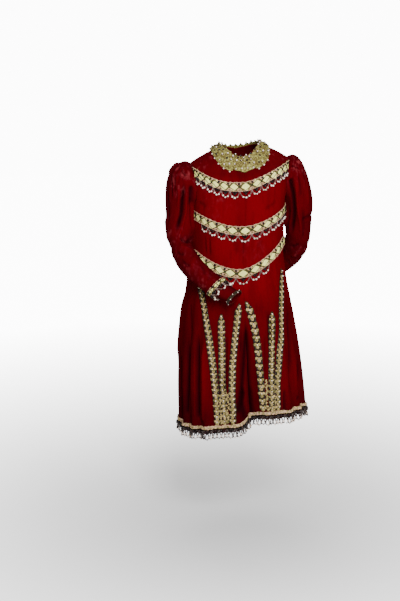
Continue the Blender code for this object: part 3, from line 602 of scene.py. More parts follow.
def make_lustre_group():
    """Lustre of pearls and glass: a tone for each copy, and faint clouds."""
    group, given, out = new_group(
        "Bead lustre",
        (("Light", COLOUR, (0.9, 0.85, 0.8, 1)), ("Deep", COLOUR, (0.5, 0.4, 0.3, 1))),
        (("Colour", COLOUR), ("Roughness", FLOAT)))
    clouds = noise(group, object_place(group), 420.0, 2.0)
    share = maths(group, "MULTIPLY_ADD", clouds, 0.3,
                  maths(group, "MULTIPLY", kept_on_points(group, "tone"), 0.7))
    colour = blend_colours(group, remap(group, share, 0.25, 0.95), given.outputs["Light"],
                           given.outputs["Deep"])
    join(group, colour, out.inputs["Colour"])
    join(group, maths(group, "MULTIPLY_ADD", clouds, 0.25, 0.1), out.inputs["Roughness"])
    return group


GROUP_MAKERS = {"pile": make_pile_group, "thread": make_thread_group,
                "lustre": make_lustre_group}
GROUPS = {}


def group_node(tree, kind, **values):
    """A material's own copy of a shader group, with its values by the inputs' names."""
    if kind not in GROUPS:
        GROUPS[kind] = GROUP_MAKERS[kind]()
    node = tree.nodes.new("ShaderNodeGroup")
    node.node_tree = GROUPS[kind]
    for label, value in values.items():
        node.inputs[label].default_value = value
    return node


def start_material(name):
    material = bpy.data.materials.new(name)
    material.use_nodes = True
    return material, material.node_tree, material.node_tree.nodes["Principled BSDF"]


def bump(tree, height, shader, distance, strength):
    node = tree.nodes.new("ShaderNodeBump")
    node.inputs["Distance"].default_value = distance
    node.inputs["Strength"].default_value = strength
    join(tree, height, node.inputs["Height"])
    join(tree, node.outputs["Normal"], shader.inputs["Normal"])


def rgba(colour):
    return (*tuple(colour), 1.0)


def velvet_material(settings):
    found = bpy.data.materials.get("Crimson pile velvet")
    if found:
        return found
    material, tree, shader = start_material("Crimson pile velvet")
    nap = group_node(tree, "pile", Pile=rgba(settings.colour), Shade=rgba(settings.shade),
                     Crushed=rgba(settings.worn))
    join(tree, kept_on_points(tree, "wear"), nap.inputs["Wear"])
    # painted light kept on the points: painted shade on the cloth's sides, hem and hollows, and
    # painted highlight on its ridges
    join(tree, kept_on_points(tree, "nap"), nap.inputs["Nap"])
    join(tree, nap.outputs["Colour"], shader.inputs["Base Color"])
    join(tree, nap.outputs["Roughness"], shader.inputs["Roughness"])
    shader.inputs["Specular IOR Level"].default_value = 0.0
    shader.inputs["Sheen Weight"].default_value = 0.04
    shader.inputs["Sheen Roughness"].default_value = 0.35
    shader.inputs["Sheen Tint"].default_value = (0.9, 0.01, 0.04, 1)
    bump(tree, nap.outputs["Height"], shader, 1.2 * MM, 0.5)
    return material


def thread_material(name, thread, tarnish, tarnished):
    found = bpy.data.materials.get(name)
    if found:
        return found
    material, tree, shader = start_material(name)
    wound = group_node(tree, "thread", Thread=rgba(thread), Tarnish=rgba(tarnish),
                       Tarnished=tarnished)
    join(tree, wound.outputs["Colour"], shader.inputs["Base Color"])
    join(tree, wound.outputs["Roughness"], shader.inputs["Roughness"])
    shader.inputs["Specular IOR Level"].default_value = 0.12
    bump(tree, wound.outputs["Height"], shader, 0.6 * MM, 0.7)
    return material


def bead_material(name, light, deep, coat, gloss=0.5):
    found = bpy.data.materials.get(name)
    if found:
        return found
    material, tree, shader = start_material(name)
    lustre = group_node(tree, "lustre", Light=rgba(light), Deep=rgba(deep))
    join(tree, lustre.outputs["Colour"], shader.inputs["Base Color"])
    join(tree, lustre.outputs["Roughness"], shader.inputs["Roughness"])
    shader.inputs["Coat Weight"].default_value = coat
    shader.inputs["Coat Roughness"].default_value = 0.08
    shader.inputs["Specular IOR Level"].default_value = gloss
    return material


def trim_materials(trim):
    """The finishes of the braid, its cords and its beads, by a maker's plain name."""
    dark = tuple(value * 0.22 for value in trim.gold)
    return {
        "ground": thread_material("Woven gold ground", trim.gold, dark, 0.75),
        "cream": thread_material("Cream silk thread", trim.cream, (0.62, 0.66, 0.20), 0.8),
        "khaki": thread_material("Aged gold thread", trim.khaki, (0.12, 0.105, 0.03), 0.8),
        "olive": thread_material("Dark olive ground", (0.030, 0.019, 0.006),
                                 (0.010, 0.005, 0.003), 0.7),
        "ribbon": thread_material("Faded hem ribbon", trim.pink, (0.19, 0.17, 0.06), 0.85),
        "green": thread_material("Dark green cord", trim.green, (0.01, 0.01, 0.006), 0.5),
        "pink": thread_material("Faded edge cord", trim.pink, trim.gold, 0.4),
        "pearl": bead_material("Pearl", trim.pearl, (0.40, 0.29, 0.20), coat=0.5),
        "glass": bead_material("Grey glass bead", trim.glass, (0.10, 0.07, 0.06), coat=0.5),
        "smoke": bead_material("Smoky glass bead", (0.05, 0.033, 0.028), (0.008, 0.004, 0.003),
                               coat=0.1, gloss=0.2),
        "jewel": bead_material("Dark jewel", trim.jewel, (0.020, 0.002, 0.002), coat=0.04,
                               gloss=0.15),
        "gimp": thread_material("Collar gimp", trim.gimp, (0.085, 0.055, 0.012), 0.9),
    }


# ---------------------------------------------------------------- velvet
def cloth_copy(node, name):
    """A clean copy of a CAD solid, with its loose triangles joined into quads."""
    thing = bpy.data.objects.new(name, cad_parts[node].data.copy())
    bpy.context.collection.objects.link(thing)
    edit(thing)
    bpy.ops.mesh.remove_doubles(threshold=0.02 * MM)
    bpy.ops.mesh.tris_convert_to_quads(face_threshold=math.radians(170),
                                       shape_threshold=math.radians(120))
    leave_edit()
    return thing


def nearest_on(course, points):
    """Nearest place of each point on a polyline: the place and the share of the whole run."""
    best = np.full(len(points), np.inf)
    place = np.zeros_like(points)
    share = np.zeros(len(points))
    steps = np.linalg.norm(np.diff(course, axis=0), axis=1)
    start = np.concatenate(([0.0], np.cumsum(steps)))
    for index, (here, ahead) in enumerate(zip(course, course[1:])):
        line = ahead - here
        part = np.clip((points - here) @ line / (line @ line), 0, 1)
        spot = here + part[:, None] * line
        gap = np.linalg.norm(points - spot, axis=1)
        closer = gap < best
        best[closer] = gap[closer]
        place[closer] = spot[closer]
        share[closer] = (start[index] + part[closer] * steps[index]) / start[-1]
    return place, share, best


RIM_WIDTH = 3.4 * MM            # the faces across a cloth's edge are narrower than this
SEAM_REACH = 1.4 * MM           # a rim this near to its neighbour's is drawn onto it
SHADE_IN_HOLLOW, HIGHLIGHT_ON_RIDGE = 85, 45    # painted shade in a hollow and painted highlight on a ridge: change of the painted light for each metre moved
CREASE_FADE = 0.25              # share of a crease over which a free end dies away


def hold_edges(thing, course):
    """Crease the rims of a cloth wall fully, so that smoothing leaves the seams closed."""
    bm = bmesh.new()
    bm.from_mesh(thing.data)
    layer = bm.edges.layers.float.new("crease_edge")
    centres = np.array([face.calc_center_median() for face in bm.faces])
    spots = nearest_on(course, centres)[0]
    outward = unit(centres - spots)
    rims = set()
    for face, away in zip(bm.faces, outward):
        shortest = min(edge.calc_length() for edge in face.edges)
        if shortest < RIM_WIDTH and abs(face.normal @ Vector(away)) < 0.55:
            rims.add(face)
    for edge in bm.edges:
        marked = [face in rims for face in edge.link_faces]
        if any(marked) and not all(marked):
            edge[layer] = 1.0
        elif marked and all(marked) and edge.calc_face_angle(0) > math.radians(40):
            edge[layer] = 1.0
    bm.to_mesh(thing.data)
    bm.free()


def settled_line(tree, crease):
    """The crease's own line, taken closely along the cloth."""
    corners = np.array(crease.points, float) * MM
    found = []
    for here, ahead in zip(corners, corners[1:]):
        for share in np.linspace(0, 1, 7)[:-1]:
            found.append(tree.find_nearest(Vector(here + (ahead - here) * share))[0])
    found.append(tree.find_nearest(Vector(corners[-1]))[0])
    return smoothed(found, 1)


def crease_profile(points, line, crease):
    """How far a crease moves each point, in metres."""
    _, share, gap = nearest_on(line, points)
    fade = np.ones(len(points))
    if "start" not in crease.open:
        fade *= ease(share / CREASE_FADE)
    if "end" not in crease.open:
        fade *= ease((1 - share) / CREASE_FADE)
    beyond = np.exp(-(gap / (crease.width * MM)) ** 2)
    return crease.depth * MM * beyond * fade


def work_creases(thing, course, creases, scale, lean):
    """Move both faces of a cloth wall alike, in or out from the course.

    Painted shade darkens each hollow and a painted highlight lightens each ridge; the painted
    light that each point keeps starts from the painted shade that lean gives for the uncreased
    cloth."""
    points = points_of(thing)
    tree = tree_of(thing)
    low, high = points.min(0) - 30 * MM, points.max(0) + 30 * MM
    outward = unit(points - nearest_on(course, points)[0])
    moved = np.zeros(len(points))
    for crease in creases:
        corners = np.array(crease.points, float) * MM
        if not np.any(np.all((corners > low) & (corners < high), axis=1)):
            continue
        line = settled_line(tree, crease)
        reach = 3 * crease.width * MM
        near = np.all((points > line.min(0) - reach) & (points < line.max(0) + reach), axis=1)
        moved[near] += crease_profile(points[near], line, crease)
    put_points(thing, points + outward * (moved * scale)[:, None])
    # painted shade in the hollows and painted highlight on the ridges, on top of the painted shade
    # of the uncreased cloth
    change = np.where(moved < 0, SHADE_IN_HOLLOW, HIGHLIGHT_ON_RIDGE) * moved
    nap = lean(points, outward) * np.clip(1 + change, 0.1, 1.35)
    keep_on_points(thing.data, "nap", np.clip(nap, 0, 1.2))


def body_painted_shade(points, outward):
    """Painted shade on the body: darker on the yoke, down the skirt, towards the hem, round its
    sides lower down, and in a streak near the middle of the breast.
    """
    x, y, height = points.T
    aside = np.degrees(np.arctan2(np.abs(x), np.abs(y)))
    azimuth = np.degrees(np.arctan2(x, -y))
    skirt = 1 - 0.38 * ease((-0.44 - height) / 0.14)
    yoke = 1 - 0.42 * ease((height + 0.12) / 0.05)
    breast = 1 - 0.2 * np.exp(-((azimuth + 7) / 16) ** 2) * (height > -0.26)
    hem = 1 - 0.45 * ease((-0.84 - height) / 0.14)
    sides = 1 - 0.26 * ease((aside - 36) / 45) * ease((-0.26 - height) / 0.16)
    return skirt * yoke * breast * hem * sides


def sleeve_painted_shade(points, outward):
    """Painted shade on the sleeves: darker than the body, darkest on the sides of the arm and
    lighter where it faces the front or the back.
    """
    return 0.24 + 0.36 * np.abs(outward[:, 1])


def mark_wear(thing):
    """Keep on each point how far wear has crushed the pile."""
    points = points_of(thing)
    worn = np.zeros(len(points))
    for centre, radius, amount in WEAR:
        gap = np.linalg.norm(points - np.array(centre) * MM, axis=1)
        worn = np.maximum(worn, amount * np.exp(-(gap / (radius * MM)) ** 2))
    keep_on_points(thing.data, "wear", worn)


# lean gives the painted shade of the uncreased cloth
def dress_velvet(node, course, creases, levels, lean=sleeve_painted_shade):
    settings = bpy.context.scene.coat_velvet
    thing = cloth_copy(node, f"velvet_{node}")
    hold_edges(thing, course)
    apply_modifier(thing, "SUBSURF", levels=levels, render_levels=levels)
    work_creases(thing, course, creases, settings.crease, lean)
    mark_wear(thing)
    smooth_faces(thing, 60)
    return finish_piece(thing, velvet_material(settings), "crimson_velvet", node)


def declare_velvet(thing):
    """Read the area of each of the cloth's faces, and keep none of it."""
    areas = np.empty(len(thing.data.polygons))
    thing.data.polygons.foreach_get("area", areas)


def tree_of(*things):
    """One search tree over the faces of several pieces."""
    corners, faces, count = [], [], 0
    for thing in things:
        points = points_of(thing)
        corners.extend(map(tuple, points))
        faces.extend(tuple(count + index for index in face.vertices)
                     for face in thing.data.polygons)
        count += len(points)
    return BVHTree.FromPolygons(corners, faces)


def close_seam(thing, other):
    """Bring the rim of a piece onto its neighbour's where the two lie within SEAM_REACH.

    Where they stand farther apart than that, the seam stays open."""
    points, tree = points_of(thing), tree_of(other)
    for index, point in enumerate(points):
        spot = tree.find_nearest(Vector(point), SEAM_REACH)[0]
        if spot is not None:
            points[index] = spot
    put_points(thing, points)


# ---------------------------------------------------------------- places on the cloth
FRONTS = ("velvet_front_right", "velvet_front_left")
BODY = FRONTS + ("velvet_back_right", "velvet_back_left")
CLOTH = {}
OUTSIDE = 0.5                   # distance from the axis at which a search for cloth starts
NEAR_REACHES = np.arange(0.10, 0.24, 0.004)     # distances tried where no cloth is ahead


def body_tree():
    if "body" not in CLOTH:
        CLOTH["body"] = tree_of(*(bpy.data.objects[name] for name in BODY))
    return CLOTH["body"]


def facing(azimuth):
    """Level direction out of the body; azimuth is in degrees from the front."""
    turn = math.radians(azimuth)
    return Vector((math.sin(turn), -math.cos(turn), 0.0))


def turned_out(normal, away):
    return np.array(-normal if normal @ away < 0 else normal)


def on_body(azimuth, height):
    """Point and outward normal of the body's cloth, or None where it is cut away."""
    away = facing(azimuth)
    start = Vector((0.0, 0.0, height)) + away * OUTSIDE
    place, normal, _, _ = body_tree().ray_cast(start, -away, OUTSIDE)
    return None if place is None else (np.array(place), turned_out(normal, away))


def near_body(azimuth, height):
    """As on_body, or the nearest place on the cloth where it is cut away."""
    found = on_body(azimuth, height)
    if found is None:
        away, nearest = facing(azimuth), math.inf
        for reach in NEAR_REACHES:
            place, normal, _, gap = body_tree().find_nearest(
                Vector((0, 0, height)) + away * reach)
            if gap < nearest:
                found, nearest = (np.array(place), turned_out(normal, away)), gap
    return found


def row_place(row, column):
    """Azimuth and height of a row of the pattern at one of its columns, from -18 to 18."""
    angle = row.last * column / BODY_COLUMNS
    sine, cosine = math.sin(math.radians(angle)), math.cos(math.radians(angle))
    across = math.copysign(abs(sine) ** ROUNDNESS, sine)
    along = abs(cosine) ** ROUNDNESS
    x = (row.shift + row.half_width * across) * MM
    y = -row.depth * MM * along
    side, sweep = row.side, row.right_sweep
    if across > 0:
        side, sweep = row.side + row.rise, row.left_sweep
    z = (row.front + (side - row.front) * abs(across) ** sweep) * MM + LEAN * x
    return math.degrees(math.atan2(x, -y)), z


# ---------------------------------------------------------------- ribbons: braid's own frame
Ribbon = namedtuple("Ribbon", "lower upper out run closed")


def make_ribbon(lower, upper, out, closed=False):
    lower, upper, out = (np.array(values, float) for values in (lower, upper, out))
    middle = (lower + upper) / 2
    steps = np.linalg.norm(np.diff(middle, axis=0), axis=1)
    return Ribbon(lower, upper, unit(out), np.concatenate(([0.0], np.cumsum(steps))), closed)


def taken_at(ribbon, values, run):
    return np.stack([np.interp(run, ribbon.run, values[:, axis]) for axis in range(3)], axis=-1)


def on_ribbon(ribbon, run, across=0.5, lift=0.0):
    """Points at a distance along a ribbon; across is 0 at its lower edge and 1 at its upper."""
    run = np.asarray(run, float)
    across = np.asarray(across, float)[..., None]
    lift = np.asarray(lift, float)[..., None]
    lower = taken_at(ribbon, ribbon.lower, run)
    upper = taken_at(ribbon, ribbon.upper, run)
    return lower + (upper - lower) * across + taken_at(ribbon, ribbon.out, run) * lift


def axes_on(ribbon, run):
    """Along, up and outward unit vectors at distances along a ribbon."""
    run = np.asarray(run, float)
    low = np.clip(run - 3 * MM, 0, ribbon.run[-1])
    high = np.clip(run + 3 * MM, 0, ribbon.run[-1])
    along = unit(on_ribbon(ribbon, high) - on_ribbon(ribbon, low))
    out = taken_at(ribbon, ribbon.out, run)
    out = unit(out - along * np.sum(out * along, axis=-1, keepdims=True))
    return np.stack((along, np.cross(out, along), out), axis=-1)


def smoothed(values, reach, closed=False):
    """Even out a line of points over a few neighbours to each side."""
    values = np.array(values, float)
    padded = np.pad(values, ((reach, reach),) + ((0, 0),) * (values.ndim - 1),
                    mode="wrap" if closed else "edge")
    kernel = np.hanning(2 * reach + 3)[1:-1]
    kernel /= kernel.sum()
    return sum(weight * padded[step:step + len(values)] for step, weight in enumerate(kernel))


def domed(across, height, power=4):
    """Lift of a braid's ground, highest along its middle."""
    return BRAID_LIFT + (1 - np.abs((across - 0.5) * 2) ** power) * height


def lay_strip(name, ribbon, relief, rows=BRAID_ROWS, step=BRAID_STEP,
              thickness=BRAID_THICKNESS):
    """Woven strip laid along a ribbon: a grid bent to its course and given its thickness.

    relief gives (shift across, lift) for arrays of distance along and share across."""
    count = max(int(ribbon.run[-1] / step), 4)
    bpy.ops.object.select_all(action="DESELECT")
    bpy.ops.mesh.primitive_grid_add(x_subdivisions=count, y_subdivisions=rows, size=1.0,
                                    calc_uvs=True)
    thing = bpy.context.active_object
    thing.name = thing.data.name = name
    flat = points_of(thing)
    run = (flat[:, 0] + 0.5) * ribbon.run[-1]
    across = flat[:, 1] + 0.5
    put_points(thing, on_ribbon(ribbon, run, *relief(run, across)))
    layer = thing.data.uv_layers[0]
    place = np.empty(len(layer.data) * 2)
    layer.data.foreach_get("uv", place)
    place = place.reshape(-1, 2) * (ribbon.run[-1], 1.0)
    layer.data.foreach_set("uv", place.ravel())
    edit(thing)
    if ribbon.closed:
        bpy.ops.mesh.remove_doubles(threshold=0.2 * MM)
    leave_edit()
    apply_modifier(thing, "SOLIDIFY", thickness=thickness, offset=-1.0)
    smooth_faces(thing, 45)
    return thing


def lay_cord(name, lines, thickness, closed=False):
    """Round cord along one or more lines of points."""
    curve = bpy.data.curves.new(name, "CURVE")
    curve.dimensions = "3D"
    curve.bevel_depth = thickness / 2
    curve.bevel_resolution = 1
    curve.use_fill_caps = True
    for line in lines:
        spline = curve.splines.new("POLY")
        spline.points.add(len(line) - 1)
        flat = np.concatenate((line, np.ones((len(line), 1))), axis=1)
        spline.points.foreach_set("co", flat.ravel())
        spline.use_cyclic_u = closed
    thing = bpy.data.objects.new(name, curve)
    bpy.context.collection.objects.link(thing)
    select_only(thing)
    bpy.ops.object.convert(target="MESH")
    thing = bpy.context.active_object
    bpy.ops.object.shade_smooth()
    return thing


# ---------------------------------------------------------------- patterns that repeat
def take_pattern(thing):
    """Take a finished pattern's points and faces, and clear its object away."""
    points = points_of(thing)
    faces = [tuple(face.vertices) for face in thing.data.polygons]
    data = thing.data
    bpy.data.objects.remove(thing)
    bpy.data.meshes.remove(data)
    return points, faces


def new_sphere(segments, rings, size):
    bpy.ops.object.select_all(action="DESELECT")
    bpy.ops.mesh.primitive_uv_sphere_add(segments=segments, ring_count=rings, radius=size / 2)
    return bpy.context.active_object


def pearl_pattern(size, segments=8, rings=6):
    """Round bead with a dimple at each end of its hole."""
    thing = new_sphere(segments, rings, size)
    edit(thing)
    select_points(thing, lambda place: abs(place.z) > size * 0.49)
    bpy.ops.transform.resize(value=(1, 1, 0.82))
    leave_edit()
    return take_pattern(thing)


def jewel_pattern(size):
    """Cut stone: six-sided, with a flat table and a deep girdle."""
    thing = new_sphere(6, 4, size)
    edit(thing)
    select_points(thing, lambda place: abs(place.z) > size * 0.3)
    bpy.ops.transform.resize(value=(1.0, 1.0, 0.55))
    bpy.ops.mesh.select_all(action="SELECT")
    bpy.ops.transform.resize(value=(1.0, 1.0, 0.75))
    leave_edit()
    return take_pattern(thing)


def leaf_pattern(length, width, height):
    """Padded leaf, blunt at its root and pointed at its tip, with a sunk vein."""
    thing = new_sphere(8, 6, 1.0)
    edit(thing)
    bpy.ops.transform.rotate(value=math.radians(90), orient_axis="X",
                             center_override=(0, 0, 0))
    bpy.ops.transform.resize(value=(width, length, height * 2))
    select_points(thing, lambda place: place.y > length * 0.3)
    bpy.ops.transform.resize(value=(0.55, 1.0, 0.7), center_override=(0, 0, 0))
    select_points(thing, lambda place: abs(place.x) < width * 0.1 and place.z > 0
                  and abs(place.y) < length * 0.45)
    bpy.ops.transform.resize(value=(1.0, 1.0, 0.62), center_override=(0, 0, 0))
    leave_edit()
    return take_pattern(thing)


def new_disc(corners, filling):
    """A flat disc, 1 in radius, with its points and their angles."""
    bpy.ops.object.select_all(action="DESELECT")
    bpy.ops.mesh.primitive_circle_add(vertices=corners, radius=1.0, fill_type=filling)
    thing = bpy.context.active_object
    points = points_of(thing)
    return thing, points, np.arctan2(points[:, 1], points[:, 0])


def thicken(thing, height):
    edit(thing)
    bpy.ops.mesh.extrude_region_move(TRANSFORM_OT_translate={"value": (0, 0, height)})


def lozenge_pattern(width, height, thickness, bow=1.15):
    """Padded lozenge; its sides are straight at a bow of 1 and swell above it."""
    thing, points, turn = new_disc(16, "NGON")
    reach = 1.0 / (np.abs(np.cos(turn)) ** bow + np.abs(np.sin(turn)) ** bow) ** (1 / bow)
    points[:, 0] = np.cos(turn) * reach * width / 2
    points[:, 1] = np.sin(turn) * reach * height / 2
    put_points(thing, points)
    thicken(thing, thickness * 0.55)
    bpy.ops.mesh.inset(thickness=min(width, height) * 0.12)
    bpy.ops.transform.translate(value=(0, 0, thickness * 0.45))
    leave_edit()
    return take_pattern(thing)


def shell_pattern(width, height, thickness):
    """Scallop shell of wound gimp: a ribbed fan, thick at its foot."""
    thing, points, turn = new_disc(18, "TRIFAN")
    reach = np.linalg.norm(points[:, :2], axis=1)
    lobes = 1 + 0.10 * np.cos(9 * turn)
    squash = np.where(points[:, 1] < 0, 0.62, 1.0)
    points[:, 0] = np.cos(turn) * reach * lobes * width / 2
    points[:, 1] = np.sin(turn) * reach * lobes * height / 2 * squash
    points[:, 2] = np.where(reach < 0.5, thickness, 0.42 * thickness * (1 + np.cos(9 * turn)))
    put_points(thing, points)
    thicken(thing, thickness * 0.3)
    leave_edit()
    return take_pattern(thing)


def set_out(name, pattern, spots, axes, tones, sizes=None, angle=50):
    """One piece of copies of a pattern, each with its place, turn, size and tone."""
    shape, faces = pattern
    spots, axes = np.asarray(spots, float), np.asarray(axes, float)
    if sizes is None:
        sizes = np.ones(len(spots))
    local = shape[None, :, :] * np.asarray(sizes)[:, None, None]
    points = np.einsum("nij,nkj->nki", axes, local) + spots[:, None, :]
    count = len(shape)
    everything = [tuple(index + copy * count for index in face)
                  for copy in range(len(spots)) for face in faces]
    mesh = bpy.data.meshes.new(name)
    mesh.from_pydata(points.reshape(-1, 3).tolist(), [], everything)
    keep_on_points(mesh, "tone", np.repeat(np.asarray(tones, float), count))
    thing = bpy.data.objects.new(name, mesh)
    bpy.context.collection.objects.link(thing)
    smooth_faces(thing, angle)
    return thing


def level_axes(count):
    return np.repeat(np.eye(3)[None], count, axis=0)


def tip_axes(tip, out):
    """Axes of copies whose length runs to the tip and whose face looks out."""
    return np.stack((np.cross(tip, out), tip, out), axis=-1)


def leant(axes, lean):
    """Axes of leaves that stand across a ribbon and lean along it by an angle each."""
    tip = unit(axes[:, :, 1] * np.cos(lean)[:, None] + axes[:, :, 0] * np.sin(lean)[:, None])
    return tip_axes(tip, axes[:, :, 2])


def either_way(count):
    """1 and -1 by turns, from -1."""
    return np.where(np.arange(count) % 2, 1, -1)


# ---------------------------------------------------------------- loops of strung beads
def loop_beads(width, drop, bead, pearl, sway, rows):
    """Places in one loop as (kind, across, down); across is from the loop's middle."""
    # half a loop is a bow from the braid to the foot, with a pearl at its corner
    turn = np.linspace(0, math.pi / 2, 60)
    across = (width - bead) / 2 * np.cos(turn) ** 0.9
    down = drop * np.sin(turn) ** 1.15
    run = np.append(0, np.cumsum(np.hypot(np.diff(across), np.diff(down))))
    corner, spare = run[-1] * 0.66, (pearl + bead) * 0.47
    strung = [("pearl", corner)]
    for start, end in ((bead * 0.3, corner - spare), (corner + spare, run[-1] - spare)):
        count = max(round((end - start) / bead) + 1, 1)
        strung += [("glass", at) for at in np.linspace(start, max(end, start), count)]
    found = []
    for side in (-1, 1):
        for kind, at in strung:
            low = float(np.interp(at, run, down))
            found.append((kind, side * float(np.interp(at, run, across)) + sway * low / drop,
                          low))
    # dark beads at the root of the loop, and more of them filling its hollow below the braid as a
    # painted shadow of the fringe
    for row, reach in enumerate((2, 1, 0)[3 - rows:]):
        for step in range(-reach, reach + 1):
            found.append(("dark", step * bead * 1.4 + sway * 0.3, bead * (0.5 + 1.3 * row)))
    found.append(("pearl", sway, drop))
    return found


def hang_loops(prefix, spans, hang, trim, materials, pearly=1.0, strand="glass", fuller=1.0,
               rows=3):
    """Loops of beads; spans are (start, end) along the braid, and hang gives the points."""
    random = np.random.default_rng(sum(map(ord, prefix)))
    kinds = {"pearl": [], "glass": [], "dark": []}
    for start, end in spans:
        sway = random.uniform(-1, 1) * MM
        drop = trim.loop_drop * random.uniform(0.95, 1.05) * fuller
        for kind, across, down in loop_beads(end - start, drop, trim.bead_size * fuller,
                                             trim.pearl_size, sway, rows):
            if kind == "pearl" and random.random() > pearly:
                kind = "glass"
            kinds[kind].append(((start + end) / 2 + across, down))
    finishes = {"pearl": (trim.pearl_size, "pearl", "pearl_bead"),
                "glass": (trim.bead_size * fuller, strand, "pearl_bead"),
                "dark": (trim.bead_size * 1.5 * fuller, "jewel", "dark_bead")}
    made = []
    for kind, places in kinds.items():
        if not places:
            continue
        size, look, slot = finishes[kind]
        run, down = np.array(places).T
        spots = hang(run, down, size / 2 + 0.7 * MM)
        pattern = pearl_pattern(size) if kind == "pearl" else pearl_pattern(size * 1.3, 6, 4)
        scale = random.uniform(0.86, 1.08, len(spots))
        thing = set_out(f"{prefix}_{kind}_beads", pattern, spots, level_axes(len(spots)),
                        random.random(len(spots)) ** 1.5, scale, angle=95)
        made.append(finish_piece(thing, materials[look], slot))
    return made


# ---------------------------------------------------------------- braid of the swags
def swag_braid(name, ribbon, stations, trim, materials):
    """Braid with a lozenge in each motif between crossing cords, and a jewel between motifs."""
    random = np.random.default_rng(sum(map(ord, name)))
    stations = np.asarray(stations, float)
    motifs = np.arange(len(stations))
    middles = (stations[1:] + stations[:-1]) / 2
    pitch = float(np.mean(np.diff(stations)))
    width = float(np.mean(np.linalg.norm(ribbon.upper - ribbon.lower, axis=1)))

    def wave(run):
        """Two crests in each motif, from 0 to 1."""
        return 0.5 - 0.5 * np.cos(4 * math.pi * np.interp(run, stations, motifs))

    def ground(run, across):
        edge = (across - 0.5) * 2
        drawn = np.sign(edge) * np.abs(edge) ** 6 * 0.035 * (1 - wave(run))
        return across - drawn, domed(across, 0.7 * MM)

    strip = lay_strip(f"{name}_ground", ribbon, ground)
    finish_piece(strip, materials["ground"], "gold_braid", name)

    inside = (middles > pitch * 0.3) & (middles < ribbon.run[-1] - pitch * 0.3)
    axes = axes_on(ribbon, middles[inside])
    axes[:, :, 0] *= np.minimum(np.diff(stations)[inside] / pitch, 1.05)[:, None]
    thing = set_out(f"{name}_lozenges",
                    lozenge_pattern(pitch * 0.90, width * 0.88, 1.6 * MM),
                    on_ribbon(ribbon, middles[inside], 0.46, 2.4 * MM), axes,
                    random.random(len(axes)))
    made = [finish_piece(thing, materials["cream"], "gold_braid")]

    # small leaves fill the corners above and below the crossings
    corners = np.array([(station + side * pitch * 0.15, 0.5 + 0.3 * up,
                         math.radians(52 * side * up - (180 if up < 0 else 0)))
                        for station in stations for side in (-1, 1) for up in (1, -1)])
    corners = corners[(corners[:, 0] > 2 * MM) & (corners[:, 0] < ribbon.run[-1] - 2 * MM)]
    runs, across, leans = corners.T
    thing = set_out(f"{name}_leaves", leaf_pattern(11 * MM, 5.5 * MM, 1.4 * MM),
                    on_ribbon(ribbon, runs, across, 2.6 * MM),
                    leant(axes_on(ribbon, runs), leans), random.random(len(runs)))
    made.append(finish_piece(thing, materials["pink"], "gold_braid"))

    run = np.arange(1.5 * MM, ribbon.run[-1] - 1.5 * MM, 1.5 * MM)
    lines = []
    for start in (0.0, 1.0):
        count = np.interp(run, stations, motifs + start)
        swing = np.abs((count + 0.5) % 2 - 1)
        lift = 3.6 * MM + 0.5 * MM * np.cos(math.pi * 2 * (count + start))
        lines.append(on_ribbon(ribbon, run, 0.08 + 0.84 * swing, lift))
    thing = lay_cord(f"{name}_crossing_cords", lines, trim.cord * 1.2)
    made.append(finish_piece(thing, materials["green"], "gold_braid"))

    lines = [on_ribbon(ribbon, run, 0.955 + 0.045 * wave(run), 3.0 * MM),
             on_ribbon(ribbon, run, 0.045 - 0.035 * wave(run), 3.0 * MM)]
    thing = lay_cord(f"{name}_edge_cords", lines, trim.cord)
    made.append(finish_piece(thing, materials["pink"], "gold_braid"))

    # a jewel sits between two motifs, near the upper edge
    inner = stations[(stations > 3 * MM) & (stations < ribbon.run[-1] - 3 * MM)]
    thing = set_out(f"{name}_jewels", jewel_pattern(trim.jewel_size),
                    on_ribbon(ribbon, inner, 0.82, 4.8 * MM), axes_on(ribbon, inner),
                    random.random(len(inner)))
    made.append(finish_piece(thing, materials["jewel"], "dark_bead"))
    return strip, made


def clear_cloth(lower, upper, out):
    """How far each cross-line of a ribbon is to be lifted so that no cloth covers it."""
    above, lifts = 20 * MM, []
    for low, high, away in zip(lower, upper, unit(out)):
        lift = 0.0
        for share in (0.1, 0.3, 0.5, 0.7, 0.9):
            spot = low + (high - low) * share
            gap = body_tree().ray_cast(Vector(spot + away * above), Vector(-away), above)[3]
            if gap is not None:
                lift = max(lift, above - gap)
        lifts.append(lift)
    spread = np.array([max(lifts[max(index - 2, 0):index + 3]) for index in range(len(lifts))])
    return smoothed(spread, 2)[:, None] * unit(out)


def swag_ribbon(swag):
    upper, lower, out = [], [], []
    columns = np.linspace(1 - BODY_COLUMNS, BODY_COLUMNS - 1, 241)
    for column in columns:
        found = [near_body(*row_place(row, column)) for row in (swag.upper, swag.lower)]
        upper.append(found[0][0])
        lower.append(found[1][0])
        out.append(found[0][1] + found[1][1])
    upper, lower, out = (smoothed(values, 3) for values in (upper, lower, out))
    lift = clear_cloth(lower, upper, out)
    return make_ribbon(lower + lift, upper + lift, out), columns


def body_hang(ribbon):
    """Hanger for loops on the body: straight down the cloth from the ribbon's lower edge."""
    def hang(run, down, lift):
        found = []
        for spot, drop in zip(taken_at(ribbon, ribbon.lower, np.clip(
                run, ribbon.run[0], ribbon.run[-1])), down):
            azimuth = math.degrees(math.atan2(spot[0], -spot[1]))
            place, out = near_body(azimuth, spot[2] - drop)
            found.append(place + out * lift)
        return np.array(found)
    return hang


def free_hang(ribbon, away):
    """Hanger for loops that hang past an edge, in line with the braid."""
    def hang(run, down, lift):
        run = np.mod(run, ribbon.run[-1])
        lower = taken_at(ribbon, ribbon.lower, run)
        upper = taken_at(ribbon, ribbon.upper, run)
        fall = unit(lower - upper)
        out = taken_at(ribbon, ribbon.out, run)
        return lower + fall * down[:, None] + out * (lift + away)
    return hang


